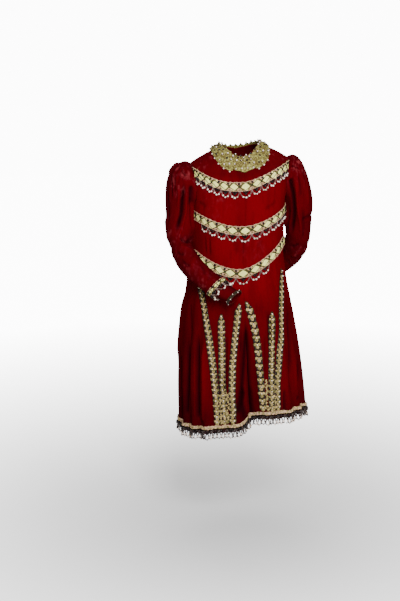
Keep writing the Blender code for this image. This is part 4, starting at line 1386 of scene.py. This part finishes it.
# ---------------------------------------------------------------- operators
class COAT_OT_velvet_body(bpy.types.Operator):
    """Dress the two fronts and the two backs as creased velvet"""
    bl_idname = "coat.velvet_body"
    bl_label = "Velvet Body"

    def execute(self, context):
        settings = context.scene.coat_velvet
        for place in ("front", "back"):
            levels = settings.front_smoothing if place == "front" else settings.back_smoothing
            for word in SIDES:
                node = f"{place}_{word}"
                thing = dress_velvet(node, BODY_COURSE, BODY_CREASES, levels, body_painted_shade)
                beside = {"front_left": "front_right"}.get(node, f"front_{word}")
                if beside != node:
                    close_seam(thing, bpy.data.objects[f"velvet_{beside}"])
                declare_velvet(thing)
        return {"FINISHED"}


class COAT_OT_sleeves(bpy.types.Operator):
    """Dress the sleeves and the under-cuffs as creased velvet"""
    bl_idname = "coat.sleeves"
    bl_label = "Sleeves and Under-cuffs"

    def execute(self, context):
        settings = context.scene.coat_velvet
        for word in SIDES:
            course = np.array(SLEEVE_COURSE[word], float) * MM
            declare_velvet(dress_velvet(f"sleeve_{word}", course, SLEEVE_CREASES[word],
                                        settings.front_smoothing))
            ahead = unit(course[-1] - course[-2])
            line = np.array((course[-1] - ahead * 20 * MM, course[-1] + ahead * 80 * MM))
            declare_velvet(dress_velvet(f"undercuff_{word}", line, (),
                                        settings.back_smoothing))
        return {"FINISHED"}


def fuller(turn):
    """The gimp's lower corners at the front spread beyond its foundation."""
    return COLLAR_CORNER * math.sin(2 * turn) ** 2 if math.cos(turn) > 0 else 0.0


def collar_place(tree, turn, half_width, depth):
    """Point and normal of what lies under the collar, at a turn from the front."""
    x, y = half_width * MM * math.sin(turn), -depth * MM * math.cos(turn)
    spot, normal, _, _ = tree.ray_cast(Vector((x, y, 0.3)), Vector((0, 0, -1)))
    if spot is None:
        spot, normal, _, _ = tree.find_nearest(Vector((x, y, 0.0)))
    return np.array(spot), turned_out(normal, Vector((0, 0, 1)))


def collar_border(tree):
    """Band of gimp round the collar's outer edge."""
    rings = [[], [], []]
    for turn in np.linspace(0, 2 * math.pi, 145) + 3.16:
        front = COLLAR_FRONT if math.cos(turn) > 0 else COLLAR_BACK
        for ring, more in ((rings[0], fuller(turn)), (rings[1], -COLLAR_BORDER)):
            spot, normal = collar_place(tree, turn, COLLAR_HALF_WIDTH + more, front + more)
            ring.append(spot)
        rings[2].append(normal)
    return lay_strip("collar_border", make_ribbon(*rings, closed=True),
                     lambda run, across: (across, 2.2 * MM - across * MM), 6, 4 * MM, 1.2 * MM)


def collar_shells(tree, random):
    """Shells in rows round the collar, with the pearls and the jewels that they bear."""
    shells, axes, tones, sizes = [], [], [], []
    pearls, pearl_sizes, studs, stud_axes = [], [], [], []
    for row in COLLAR_ROWS:
        for index in range(row.shells):
            turn = 2 * math.pi * (index + row.start) / row.shells + random.uniform(-0.02, 0.02)
            depth = row.front if math.cos(turn) > 0 else row.front - COLLAR_BACK_LESS
            more = fuller(turn) * row.spread
            spot, out = collar_place(tree, turn, row.half_width + more, depth + more)
            more += 3
            ahead, _ = collar_place(tree, turn, row.half_width + more, depth + more)
            up = unit(ahead - spot)
            out = unit(out - up * (out @ up))
            shells.append(spot + out * (1.2 if row.spread == 1.0 else 0.4) * MM)
            axes.append(tip_axes(up, out))
            tones.append(random.random())
            sizes.append(row.size * random.uniform(0.9, 1.08))
            # half of the shells bear a pearl on a jewel, and most of the rest a jewel
            if random.random() < 0.5:
                pearls.append(spot + out * 7.6 * MM - up * 3 * MM)
                pearl_sizes.append(random.uniform(0.75, 1.05))
            elif random.random() < 0.3:
                continue
            studs.append(spot + out * 4.6 * MM - up * 3 * MM)
            stud_axes.append(axes[-1])
    return (shells, axes, tones, sizes), (pearls, pearl_sizes), (studs, stud_axes)


def add_edge_pearls(tree, random, pearls, sizes):
    """Pearls spaced out along the collar's outer edge."""
    for index in range(COLLAR_EDGE_PEARLS):
        turn = 2 * math.pi * (index + 0.5) / COLLAR_EDGE_PEARLS
        depth = EDGE_FRONT if math.cos(turn) > 0 else EDGE_BACK
        more = fuller(turn) - 3
        spot, out = collar_place(tree, turn, EDGE_HALF_WIDTH + more, depth + more)
        pearls.append(spot + out * 2.2 * MM)
        sizes.append(random.uniform(0.85, 1.1))


class COAT_OT_collar(bpy.types.Operator):
    """Work the ring collar of gimp shells and pearls"""
    bl_idname = "coat.collar"
    bl_label = "Ring Collar"

    def execute(self, context):
        materials = trim_materials(context.scene.coat_trim)
        random = np.random.default_rng(7)
        base = cloth_copy("collar", "collar_ground")
        apply_modifier(base, "SUBSURF", levels=2, render_levels=2)
        smooth_faces(base, 50)
        finish_piece(base, materials["gimp"], "gold_gimp", "collar")
        tree = tree_of(base, *(bpy.data.objects[name] for name in BODY))
        finish_piece(collar_border(tree), materials["gimp"], "gold_gimp")

        shells, (pearls, pearl_sizes), (studs, stud_axes) = collar_shells(tree, random)
        add_edge_pearls(tree, random, pearls, pearl_sizes)
        thing = set_out("collar_shells", shell_pattern(*COLLAR_SHELL), *shells, angle=22)
        finish_piece(thing, materials["gimp"], "gold_gimp")
        thing = set_out("collar_pearls", pearl_pattern(COLLAR_PEARL), pearls,
                        level_axes(len(pearls)), random.random(len(pearls)) ** 1.5,
                        pearl_sizes)
        finish_piece(thing, materials["pearl"], "pearl_bead")
        thing = set_out("collar_jewels", jewel_pattern(COLLAR_JEWEL), studs, stud_axes,
                        random.random(len(studs)))
        finish_piece(thing, materials["jewel"], "dark_bead")
        return {"FINISHED"}


class COAT_OT_swags(bpy.types.Operator):
    """Lay the three swags of braid over the front, with their loops of pearls"""
    bl_idname = "coat.swags"
    bl_label = "Swags"

    def execute(self, context):
        trim = context.scene.coat_trim
        materials = trim_materials(trim)
        for swag in SWAGS:
            ribbon, columns = swag_ribbon(swag)
            first = swag.first_loop - BODY_COLUMNS
            places = first + LOOP_COLUMNS * MOTIFS
            places = places[np.abs(places) < BODY_COLUMNS + MOTIF_OVERRUN]
            beyond = places - np.clip(places, columns[0], columns[-1])
            slope = ribbon.run[-1] / (columns[-1] - columns[0])
            stations = np.interp(places, columns, ribbon.run) + beyond * slope
            strip, made = swag_braid(swag.name, ribbon, stations, trim, materials)
            ends = np.interp(first + LOOP_COLUMNS * np.arange(swag.loops + 1), columns,
                             ribbon.run)
            spans = list(zip(ends[:-1], ends[1:]))
            made += hang_loops(swag.name, spans, body_hang(ribbon), trim, materials)
        return {"FINISHED"}


def stripe_ribbon(node):
    """Left and right edges of a stripe, read level by level from its solid."""
    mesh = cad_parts[node].data
    points = np.array([vertex.co for vertex in mesh.vertices])
    corners = np.array([polygon.vertices for polygon in mesh.polygons])
    ends = points[np.concatenate((corners[:, (0, 1)], corners[:, (1, 2)], corners[:, (2, 0)]))]
    low, high = points[:, 2].min(), points[:, 2].max()
    heights = np.arange(high - 1.5 * MM, low + MM, -3 * MM)
    lower, upper = [], []
    for height in heights:
        above = ends[:, :, 2] > height
        crossing = ends[above[:, 0] != above[:, 1]]
        share = (height - crossing[:, 0, 2]) / (crossing[:, 1, 2] - crossing[:, 0, 2])
        cut = crossing[:, 0] + (crossing[:, 1] - crossing[:, 0]) * share[:, None]
        turn = np.degrees(np.arctan2(cut[:, 0], -cut[:, 1]))
        lower.append((turn.min(), height))
        upper.append((turn.max(), height))
    lower, upper = smoothed(lower, 3), smoothed(upper, 3)
    lower[:, 1] = upper[:, 1] = heights
    # seen along the stripe from its top, the wearer's left is up the ribbon
    (lower, out), (upper, other_out) = (
        np.array([on_body(*place) for place in line]).transpose(1, 0, 2)
        for line in (lower, upper))
    lower, upper, out = smoothed(lower, 2), smoothed(upper, 2), smoothed(out + other_out, 3)
    lift = clear_cloth(lower, upper, out)
    return make_ribbon(lower + lift, upper + lift, out)


def lay_stripe(name, stripe, random, trim, materials):
    """One stripe: leaves in pairs, a shell that closes each, pearls, jewels and edge cords."""
    ribbon = stripe_ribbon(name)
    total = ribbon.run[-1]
    count = round((total - STRIPE_TOP - STRIPE_FOOT) / trim.stripe_pitch / stripe.spacing) + 1
    centres, pitch = np.linspace(STRIPE_TOP, total - STRIPE_FOOT, count, retstep=True)

    def notch(run):
        """How far the edges are nipped in: 0 at a pair of leaves, and 1 between two."""
        return (0.5 - 0.5 * np.cos(2 * math.pi * (run - STRIPE_TOP) / pitch)) ** 1.5

    def ground(run, across):
        edge = (across - 0.5) * 2
        shift = 0.5 + edge / 2 * (1 - 0.24 * notch(run) * edge ** 2)
        return shift, domed(across, 0.8 * MM) - notch(run) * 0.5 * MM

    strip = lay_strip(f"{name}_ground", ribbon, ground)
    finish_piece(strip, materials["olive"], "gold_braid", name)

    runs, across, sizes = [], [], []
    for centre in centres:
        width = np.linalg.norm(on_ribbon(ribbon, centre, 1.0) - on_ribbon(ribbon, centre, 0.0))
        small = min(1.0, width / (26 * MM))
        for side in (-1, 1):
            runs.append(centre - 1.5 * MM + random.uniform(-0.6, 0.6) * MM)
            across.append(0.5 + side * random.uniform(0.225, 0.255))
            sizes.append(small * stripe.spacing ** 0.6 * random.uniform(0.82, 1.1))
    runs, across = np.array(runs), np.array(across)
    axes = axes_on(ribbon, runs)
    # a leaf's tip leans outward and back towards the stripe's top
    side = np.sign(across - 0.5)
    tip = unit(-axes[:, :, 0] * random.uniform(0.1, 0.65, len(side))[:, None]
               + axes[:, :, 1] * side[:, None] * 0.88)
    thing = set_out(f"{name}_leaves", leaf_pattern(14 * MM, 9.5 * MM, 2.2 * MM),
                    on_ribbon(ribbon, runs, across, 2.9 * MM), tip_axes(tip, axes[:, :, 2]),
                    random.random(len(runs)) * 0.9, sizes)
    made = [finish_piece(thing, materials["khaki"], "gold_braid")]

    axes = axes_on(ribbon, centres)
    thing = set_out(f"{name}_shells", shell_pattern(12 * MM, 15 * MM, 2.2 * MM),
                    on_ribbon(ribbon, centres + 7 * MM, 0.5, 2.8 * MM),
                    tip_axes(axes[:, :, 0], axes[:, :, 2]),
                    0.4 + 0.6 * random.random(len(centres)), angle=22)
    made.append(finish_piece(thing, materials["khaki"], "gold_braid"))

    run = np.arange(2 * MM, total - MM, 1.8 * MM)
    inset = 0.02 + 0.12 * notch(run)
    thing = lay_cord(f"{name}_edge_cords", [on_ribbon(ribbon, run, inset, 2.6 * MM),
                                            on_ribbon(ribbon, run, 1 - inset, 2.6 * MM)],
                     trim.cord)
    made.append(finish_piece(thing, materials["green"], "gold_braid"))

    thing = set_out(f"{name}_pearls", pearl_pattern(5 * MM),
                    on_ribbon(ribbon, centres - 0.5 * MM, stripe.pearls_at, 6.8 * MM),
                    level_axes(len(centres)), random.random(len(centres)) ** 1.5,
                    random.uniform(0.85, 1.08, len(centres)))
    made.append(finish_piece(thing, materials["pearl"], "pearl_bead"))

    runs = np.tile(centres[:-1] + pitch / 2, 2)
    across = np.repeat((0.17, 0.83), len(centres) - 1)
    thing = set_out(f"{name}_jewels", jewel_pattern(trim.jewel_size),
                    on_ribbon(ribbon, runs, across, 4.6 * MM), axes_on(ribbon, runs),
                    random.random(len(runs)))
    made.append(finish_piece(thing, materials["jewel"], "dark_bead"))
    return ribbon


def fill_gap(name, one, other, widest, random, material):
    """Crowd leaves into the narrow gap between two neighbouring stripes near the hem."""
    spots, axes, sizes = [], [], []
    for back in FILL_DISTANCES:
        near = taken_at(one, one.upper, one.run[-1] - back)
        far = taken_at(other, other.lower, other.run[-1] - back)
        if np.linalg.norm(far - near) > widest:
            break
        along, up, out = axes_on(one, one.run[-1] - back).T
        lean = random.uniform(-1.5, 1.5)
        tip = unit(-along * math.cos(lean) + up * math.sin(lean))
        spots.append((near + far) / 2 + out * 4 * MM + up * random.uniform(-6, 6) * MM)
        axes.append(tip_axes(tip, out))
        sizes.append(random.uniform(0.8, 1.15))
    if spots:
        thing = set_out(name, leaf_pattern(11 * MM, 7 * MM, 2 * MM), spots, axes,
                        random.random(len(spots)), sizes)
        finish_piece(thing, material, "gold_braid")


class COAT_OT_stripes(bpy.types.Operator):
    """Lay the six stripes of leaves and pearls down the front of the skirt"""
    bl_idname = "coat.stripes"
    bl_label = "Skirt Stripes"

    def execute(self, context):
        trim = context.scene.coat_trim
        materials = trim_materials(trim)
        ribbons = [lay_stripe(f"stripe_{number}", stripe, np.random.default_rng(40 + number),
                              trim, materials)
                   for number, stripe in enumerate(STRIPES, 1)]
        random = np.random.default_rng(23)
        for gap in FILLED_GAPS:
            fill_gap(f"stripe_{gap.second + 1}_infill", ribbons[gap.first],
                     ribbons[gap.second], gap.widest, random, materials["khaki"])
        return {"FINISHED"}


def hem_ribbon():
    """The hem band's course, read from the velvet's own lower edge."""
    edge, azimuths = [], np.arange(0, 360, 1.0)
    for azimuth in azimuths:
        height = BELOW_HEM
        while on_body(azimuth, height) is None:
            height += MM
        edge.append(height)
    edge = smoothed(edge, 2, True)
    lower, upper, out = [], [], []
    for azimuth, height in zip(azimuths, edge):
        low = on_body(azimuth, height + HEM_BELOW_BAND)
        high = on_body(azimuth, height + HEM_BELOW_BAND + HEM_BAND)
        lower.append(low[0])
        upper.append(high[0])
        out.append(low[1] + high[1])
    lower, upper, out = (smoothed(values, 1, True) for values in (lower, upper, out))
    lift = clear_cloth(lower, upper, out)
    lower, upper = lower + lift, upper + lift
    lower, upper, out = (np.concatenate((values, values[:1])) for values in (lower, upper, out))
    return make_ribbon(lower, upper, out, True)


class COAT_OT_hem(bpy.types.Operator):
    """Sew the gathered hem ribbon with its fringe of bead loops"""
    bl_idname = "coat.hem"
    bl_label = "Hem Ribbon"

    def execute(self, context):
        trim = context.scene.coat_trim
        materials = trim_materials(trim)
        random = np.random.default_rng(91)
        ribbon = hem_ribbon()
        total = ribbon.run[-1]
        gathers = round(total / HEM_GATHER)

        def ground(run, across):
            beat = run / total * gathers * 2 * math.pi
            ruffle = np.sin(beat + 1.3 * np.sin(beat * 0.137))
            free = np.abs(across - 0.5) * 2
            bunch = 1 + 0.16 * np.sin(beat * 0.11) + 0.10 * np.sin(beat * 0.37 + 1)
            shift = 0.58 + (across - 0.5) * 0.62 * bunch + 0.05 * ruffle * free
            return shift, 3.6 * MM + ruffle * (0.7 + 1.5 * free) * MM

        strip = lay_strip("hem_ribbon", ribbon, ground, 7, 1.9 * MM, 0.8 * MM)
        finish_piece(strip, materials["ribbon"], "gold_braid", "hem_band")
        count = HEM_LEAVES
        runs = (np.arange(count) + random.uniform(-0.2, 0.2, count) + 0.5) * total / count
        lean = np.radians(random.uniform(30, 75, count)) * either_way(count)
        thing = set_out("hem_leaves", leaf_pattern(11 * MM, 6 * MM, 1.8 * MM),
                        on_ribbon(ribbon, runs, random.uniform(0.42, 0.78, count), 4.6 * MM),
                        leant(axes_on(ribbon, runs), lean), random.random(count))
        made = [finish_piece(thing, materials["khaki"], "gold_braid")]
        line = on_ribbon(ribbon, np.arange(0, total, 2 * MM), 0.25, 3.6 * MM)
        thing = lay_cord("hem_cord", [line], trim.cord, closed=True)
        made.append(finish_piece(thing, materials["green"], "gold_braid"))
        ends = np.linspace(0, total, HEM_LOOPS + 1)
        spans = list(zip(ends[:-1], ends[1:]))
        made += hang_loops("hem", spans, free_hang(ribbon, 0.5 * MM), trim, materials,
                           pearly=0.75, strand="smoke", fuller=1.45, rows=2)
        # a shorter row of loops hangs behind, between the others
        half = (ends[1] - ends[0]) / 2
        spans = [(start + half, end + half) for start, end in spans]
        made += hang_loops("hem_inner", spans, free_hang(ribbon, -2.5 * MM), trim, materials,
                           pearly=0.3, strand="smoke", fuller=1.4, rows=2)
        return {"FINISHED"}


def ring_points(word, index, count):
    """Points of one of a sleeve's last rings, its middle and the arm's direction there."""
    rings = CUFF_RINGS[word]
    ends = np.array([(ring.outer, ring.inner) for ring in rings], float)
    middles = (ends[:, 0] + ends[:, 1]) / 2 * MM
    before, after = max(index - 1, 0), min(index + 1, len(rings) - 1)
    along = unit(middles[after] - middles[before])
    half = (ends[index, 0] - ends[index, 1]) / 2 * MM
    forward = -SIDES[word] * unit(np.cross(half, along)) * rings[index].half * MM
    turns = np.linspace(0, 2 * math.pi, count)
    spokes = np.outer(-np.cos(turns), half) + np.outer(np.sin(turns), forward)
    return middles[index] + spokes, middles[index], along


def snapped(tree, points, middle):
    """Draw points in or out to the outer face of the cloth round their middle."""
    placed, normals = [], []
    for point in points:
        away = Vector(unit(point - middle))
        spot, normal, _, _ = tree.ray_cast(Vector(point) + away * SNAP_FROM, -away, SNAP_REACH)
        if spot is None:
            spot, normal = Vector(point), away
        placed.append(spot)
        normals.append(turned_out(normal, away))
    return np.array(placed), np.array(normals)


def band_round(edges):
    """Closed ribbon between two rings of points and normals, the upper one first."""
    (upper, first), (lower, second) = edges
    return make_ribbon(lower, upper, first + second, True)


def cuff_ribbon(word):
    tree = tree_of(bpy.data.objects[f"velvet_sleeve_{word}"])
    edges = []
    for index, drawn in ((1, 0.0), (2, 1.0)):
        points, middle, along = ring_points(word, index, CUFF_POINTS)
        edges.append(snapped(tree, points - along * drawn * MM, middle))
    return band_round(edges)


def wrist_ribbon(word):
    tree = tree_of(bpy.data.objects[f"velvet_undercuff_{word}"])
    last, middle, _ = ring_points(word, 2, WRIST_POINTS)
    along = unit(middle - ring_points(word, 1, WRIST_POINTS)[1])
    edges = []
    for distance in WRIST_BAND:
        share = np.interp(distance, *zip(*UNDERCUFF_SHARES))
        turn = np.array(UNDERCUFF_TURN[word]) * ease(distance / UNDERCUFF_SHARES[-1][0])
        heart = middle + along * distance * MM + turn
        edges.append(snapped(tree, heart + (last - middle) * share, heart))
    return band_round(edges)


def lay_wristband(word, materials):
    """Narrow band of dark beads and leaves round the end of an under-cuff."""
    random = np.random.default_rng(60 + len(word))
    name, ribbon = f"wristband_{word}", wrist_ribbon(word)
    strip = lay_strip(f"{name}_ground", ribbon,
                      lambda run, across: (across, domed(across, 0.8 * MM, 3)), 5,
                      BRAID_STEP, 1.4 * MM)
    finish_piece(strip, materials["olive"], "gold_braid", name)

    runs = np.arange(0, ribbon.run[-1] - 4 * MM, WRIST_BEAD_STEP)
    thing = set_out(f"{name}_pearls", pearl_pattern(4.6 * MM),
                    on_ribbon(ribbon, runs, 0.5 - 0.16 * either_way(len(runs)), 4.4 * MM),
                    level_axes(len(runs)), random.random(len(runs)))
    made = [finish_piece(thing, materials["jewel"], "dark_bead")]

    pale = runs[::2] + 3 * MM
    thing = set_out(f"{name}_pale_beads", pearl_pattern(4 * MM, 6, 4),
                    on_ribbon(ribbon, pale, 0.5 - 0.3 * either_way(len(pale)), 4.2 * MM),
                    level_axes(len(pale)), random.random(len(pale)))
    made.append(finish_piece(thing, materials["pearl"], "pearl_bead"))

    mid = runs + WRIST_BEAD_STEP / 2
    axes = leant(axes_on(ribbon, mid), math.radians(50) * either_way(len(mid)))
    thing = set_out(f"{name}_leaves", leaf_pattern(9 * MM, 5 * MM, 1.3 * MM),
                    on_ribbon(ribbon, mid, 0.5, 3.0 * MM), axes, random.random(len(mid)))
    made.append(finish_piece(thing, materials["smoke"], "dark_bead"))


class COAT_OT_cuffs(bpy.types.Operator):
    """Sew the cuff braid with its loops, and the beaded band at each wrist"""
    bl_idname = "coat.cuffs"
    bl_label = "Cuff and Wrist Bands"

    def execute(self, context):
        trim = context.scene.coat_trim
        materials = trim_materials(trim)
        for word in SIDES:
            name, ribbon = f"cuffband_{word}", cuff_ribbon(word)
            stations = np.linspace(0, ribbon.run[-1], CUFF_LOOPS + 1)
            strip, made = swag_braid(name, ribbon, stations, trim, materials)
            made += hang_loops(name, list(zip(stations[:-1], stations[1:])),
                               free_hang(ribbon, 0.0), trim, materials, pearly=0.6)
            lay_wristband(word, materials)
        return {"FINISHED"}


# ---------------------------------------------------------------- stage
Light = namedtuple("Light", "name spot size share")
LIGHTS = (Light("Key", (-0.15, -2.65, 0.95), (1.0, 1.2), 1.0),
          Light("Fill", (2.2, -2.8, 0.6), (1.6, 2.0), 0.16),
          Light("Top", (0.0, 1.0, 2.2), (1.6, 1.2), 0.14))
LIT_POINT = Vector((0, 0, -0.5))
CAMERA_SPOT = (-0.8197, -3.8284, 0.2766)
CAMERA_TURN, CAMERA_PITCH = math.radians(-10.0), math.radians(12.0)
CAMERA_LENS, CAMERA_SENSOR = 63.9, 36.0         # millimetres
FLOOR_SIZE, FLOOR_FADE = 30, 3.6        # metres; the floor runs out into the surround


def add_light(light, power):
    data = bpy.data.lights.new(light.name, "AREA")
    data.shape = "RECTANGLE"
    data.size, data.size_y = light.size
    data.energy = power * light.share
    thing = bpy.data.objects.new(light.name, data)
    thing.location = light.spot
    thing.rotation_euler = (thing.location - LIT_POINT).to_track_quat("Z", "Y").to_euler()
    bpy.context.collection.objects.link(thing)


def add_camera():
    camera = bpy.data.cameras.new("Camera")
    camera.lens, camera.sensor_width = CAMERA_LENS, CAMERA_SENSOR
    turn, pitch = CAMERA_TURN, CAMERA_PITCH
    right = Vector((math.cos(turn), math.sin(turn), 0.0))
    back = Vector((math.sin(turn) * math.cos(pitch), -math.cos(turn) * math.cos(pitch),
                   math.sin(pitch)))
    thing = bpy.data.objects.new("Camera", camera)
    thing.matrix_world = Matrix.Translation(CAMERA_SPOT) @ Matrix(
        (right, back.cross(right), back)).transposed().to_4x4()
    bpy.context.collection.objects.link(thing)
    bpy.context.scene.camera = thing


def floor_material():
    """Pale floor that runs out into the white surround, so that no horizon shows."""
    material, tree, shader = start_material("Pale floor")
    where = object_place(tree)
    grain = noise(tree, where, 3.0, 4.0)
    colour = blend_colours(tree, grain, (0.80, 0.80, 0.80), (0.84, 0.84, 0.84))
    join(tree, colour, shader.inputs["Base Color"])
    shader.inputs["Roughness"].default_value = 0.9
    length = tree.nodes.new("ShaderNodeVectorMath")
    length.operation = "LENGTH"
    join(tree, where, length.inputs[0])
    seen = tree.nodes.new("ShaderNodeLightPath").outputs["Is Camera Ray"]
    far = maths(tree, "DIVIDE", length.outputs["Value"], FLOOR_FADE)
    far = maths(tree, "POWER", maths(tree, "MINIMUM", far, 1.0), 1.8)
    glow = maths(tree, "MULTIPLY", maths(tree, "MULTIPLY", far, WHITE), seen)
    shader.inputs["Emission Color"].default_value = (1, 1, 1, 1)
    join(tree, glow, shader.inputs["Emission Strength"])
    return material


def add_surround(light):
    """White world: full white to the camera, and as much light on the coat as given."""
    world = bpy.data.worlds.new("Studio")
    bpy.context.scene.world = world
    world.use_nodes = True
    tree = world.node_tree
    shade = tree.nodes["Background"]
    shade.inputs["Color"].default_value = (1, 1, 1, 1)
    seen = tree.nodes.new("ShaderNodeLightPath").outputs["Is Camera Ray"]
    join(tree, maths(tree, "MULTIPLY_ADD", seen, WHITE - light, light),
         shade.inputs["Strength"])


class COAT_OT_stage(bpy.types.Operator):
    """Set the pale floor, the soft studio light and the camera"""
    bl_idname = "coat.stage"
    bl_label = "Stage, Light and Camera"

    def execute(self, context):
        settings = context.scene.coat_stage
        bpy.ops.object.select_all(action="DESELECT")
        bpy.ops.mesh.primitive_plane_add(size=FLOOR_SIZE, location=(0, 0, settings.floor_height))
        floor = context.active_object
        floor.name = "floor"
        floor.data.materials.append(floor_material())
        add_surround(settings.surround)
        for light in LIGHTS:
            add_light(light, settings.key_power)
        add_camera()
        return {"FINISHED"}


class COAT_PT_panel(bpy.types.Panel):
    """Sizes, colours and pieces of the stage coat"""
    bl_idname = "COAT_PT_panel"
    bl_label = "Stage Coat"
    bl_space_type = "VIEW_3D"
    bl_region_type = "UI"
    bl_category = "Stage Coat"

    def draw(self, context):
        layout = self.layout
        for settings in (context.scene.coat_velvet, context.scene.coat_trim,
                         context.scene.coat_stage):
            box = layout.box()
            for name in settings.__annotations__:
                box.prop(settings, name)
        for operator in OPERATORS:
            layout.operator(operator.bl_idname)


OPERATORS = (COAT_OT_stage, COAT_OT_velvet_body, COAT_OT_sleeves, COAT_OT_collar,
             COAT_OT_swags, COAT_OT_stripes, COAT_OT_hem, COAT_OT_cuffs)
CLASSES = (VelvetSettings, TrimSettings, StageSettings, *OPERATORS, COAT_PT_panel)


def register():
    for kind in CLASSES:
        bpy.utils.register_class(kind)
    bpy.types.Scene.coat_velvet = PointerProperty(type=VelvetSettings)
    bpy.types.Scene.coat_trim = PointerProperty(type=TrimSettings)
    bpy.types.Scene.coat_stage = PointerProperty(type=StageSettings)


def unregister():
    for name in ("coat_velvet", "coat_trim", "coat_stage"):
        delattr(bpy.types.Scene, name)
    for kind in reversed(CLASSES):
        bpy.utils.unregister_class(kind)


def main():
    register()
    for operator in OPERATORS:
        module, name = operator.bl_idname.split(".")
        getattr(getattr(bpy.ops, module), name)()


if __name__ == "__main__":
    main()
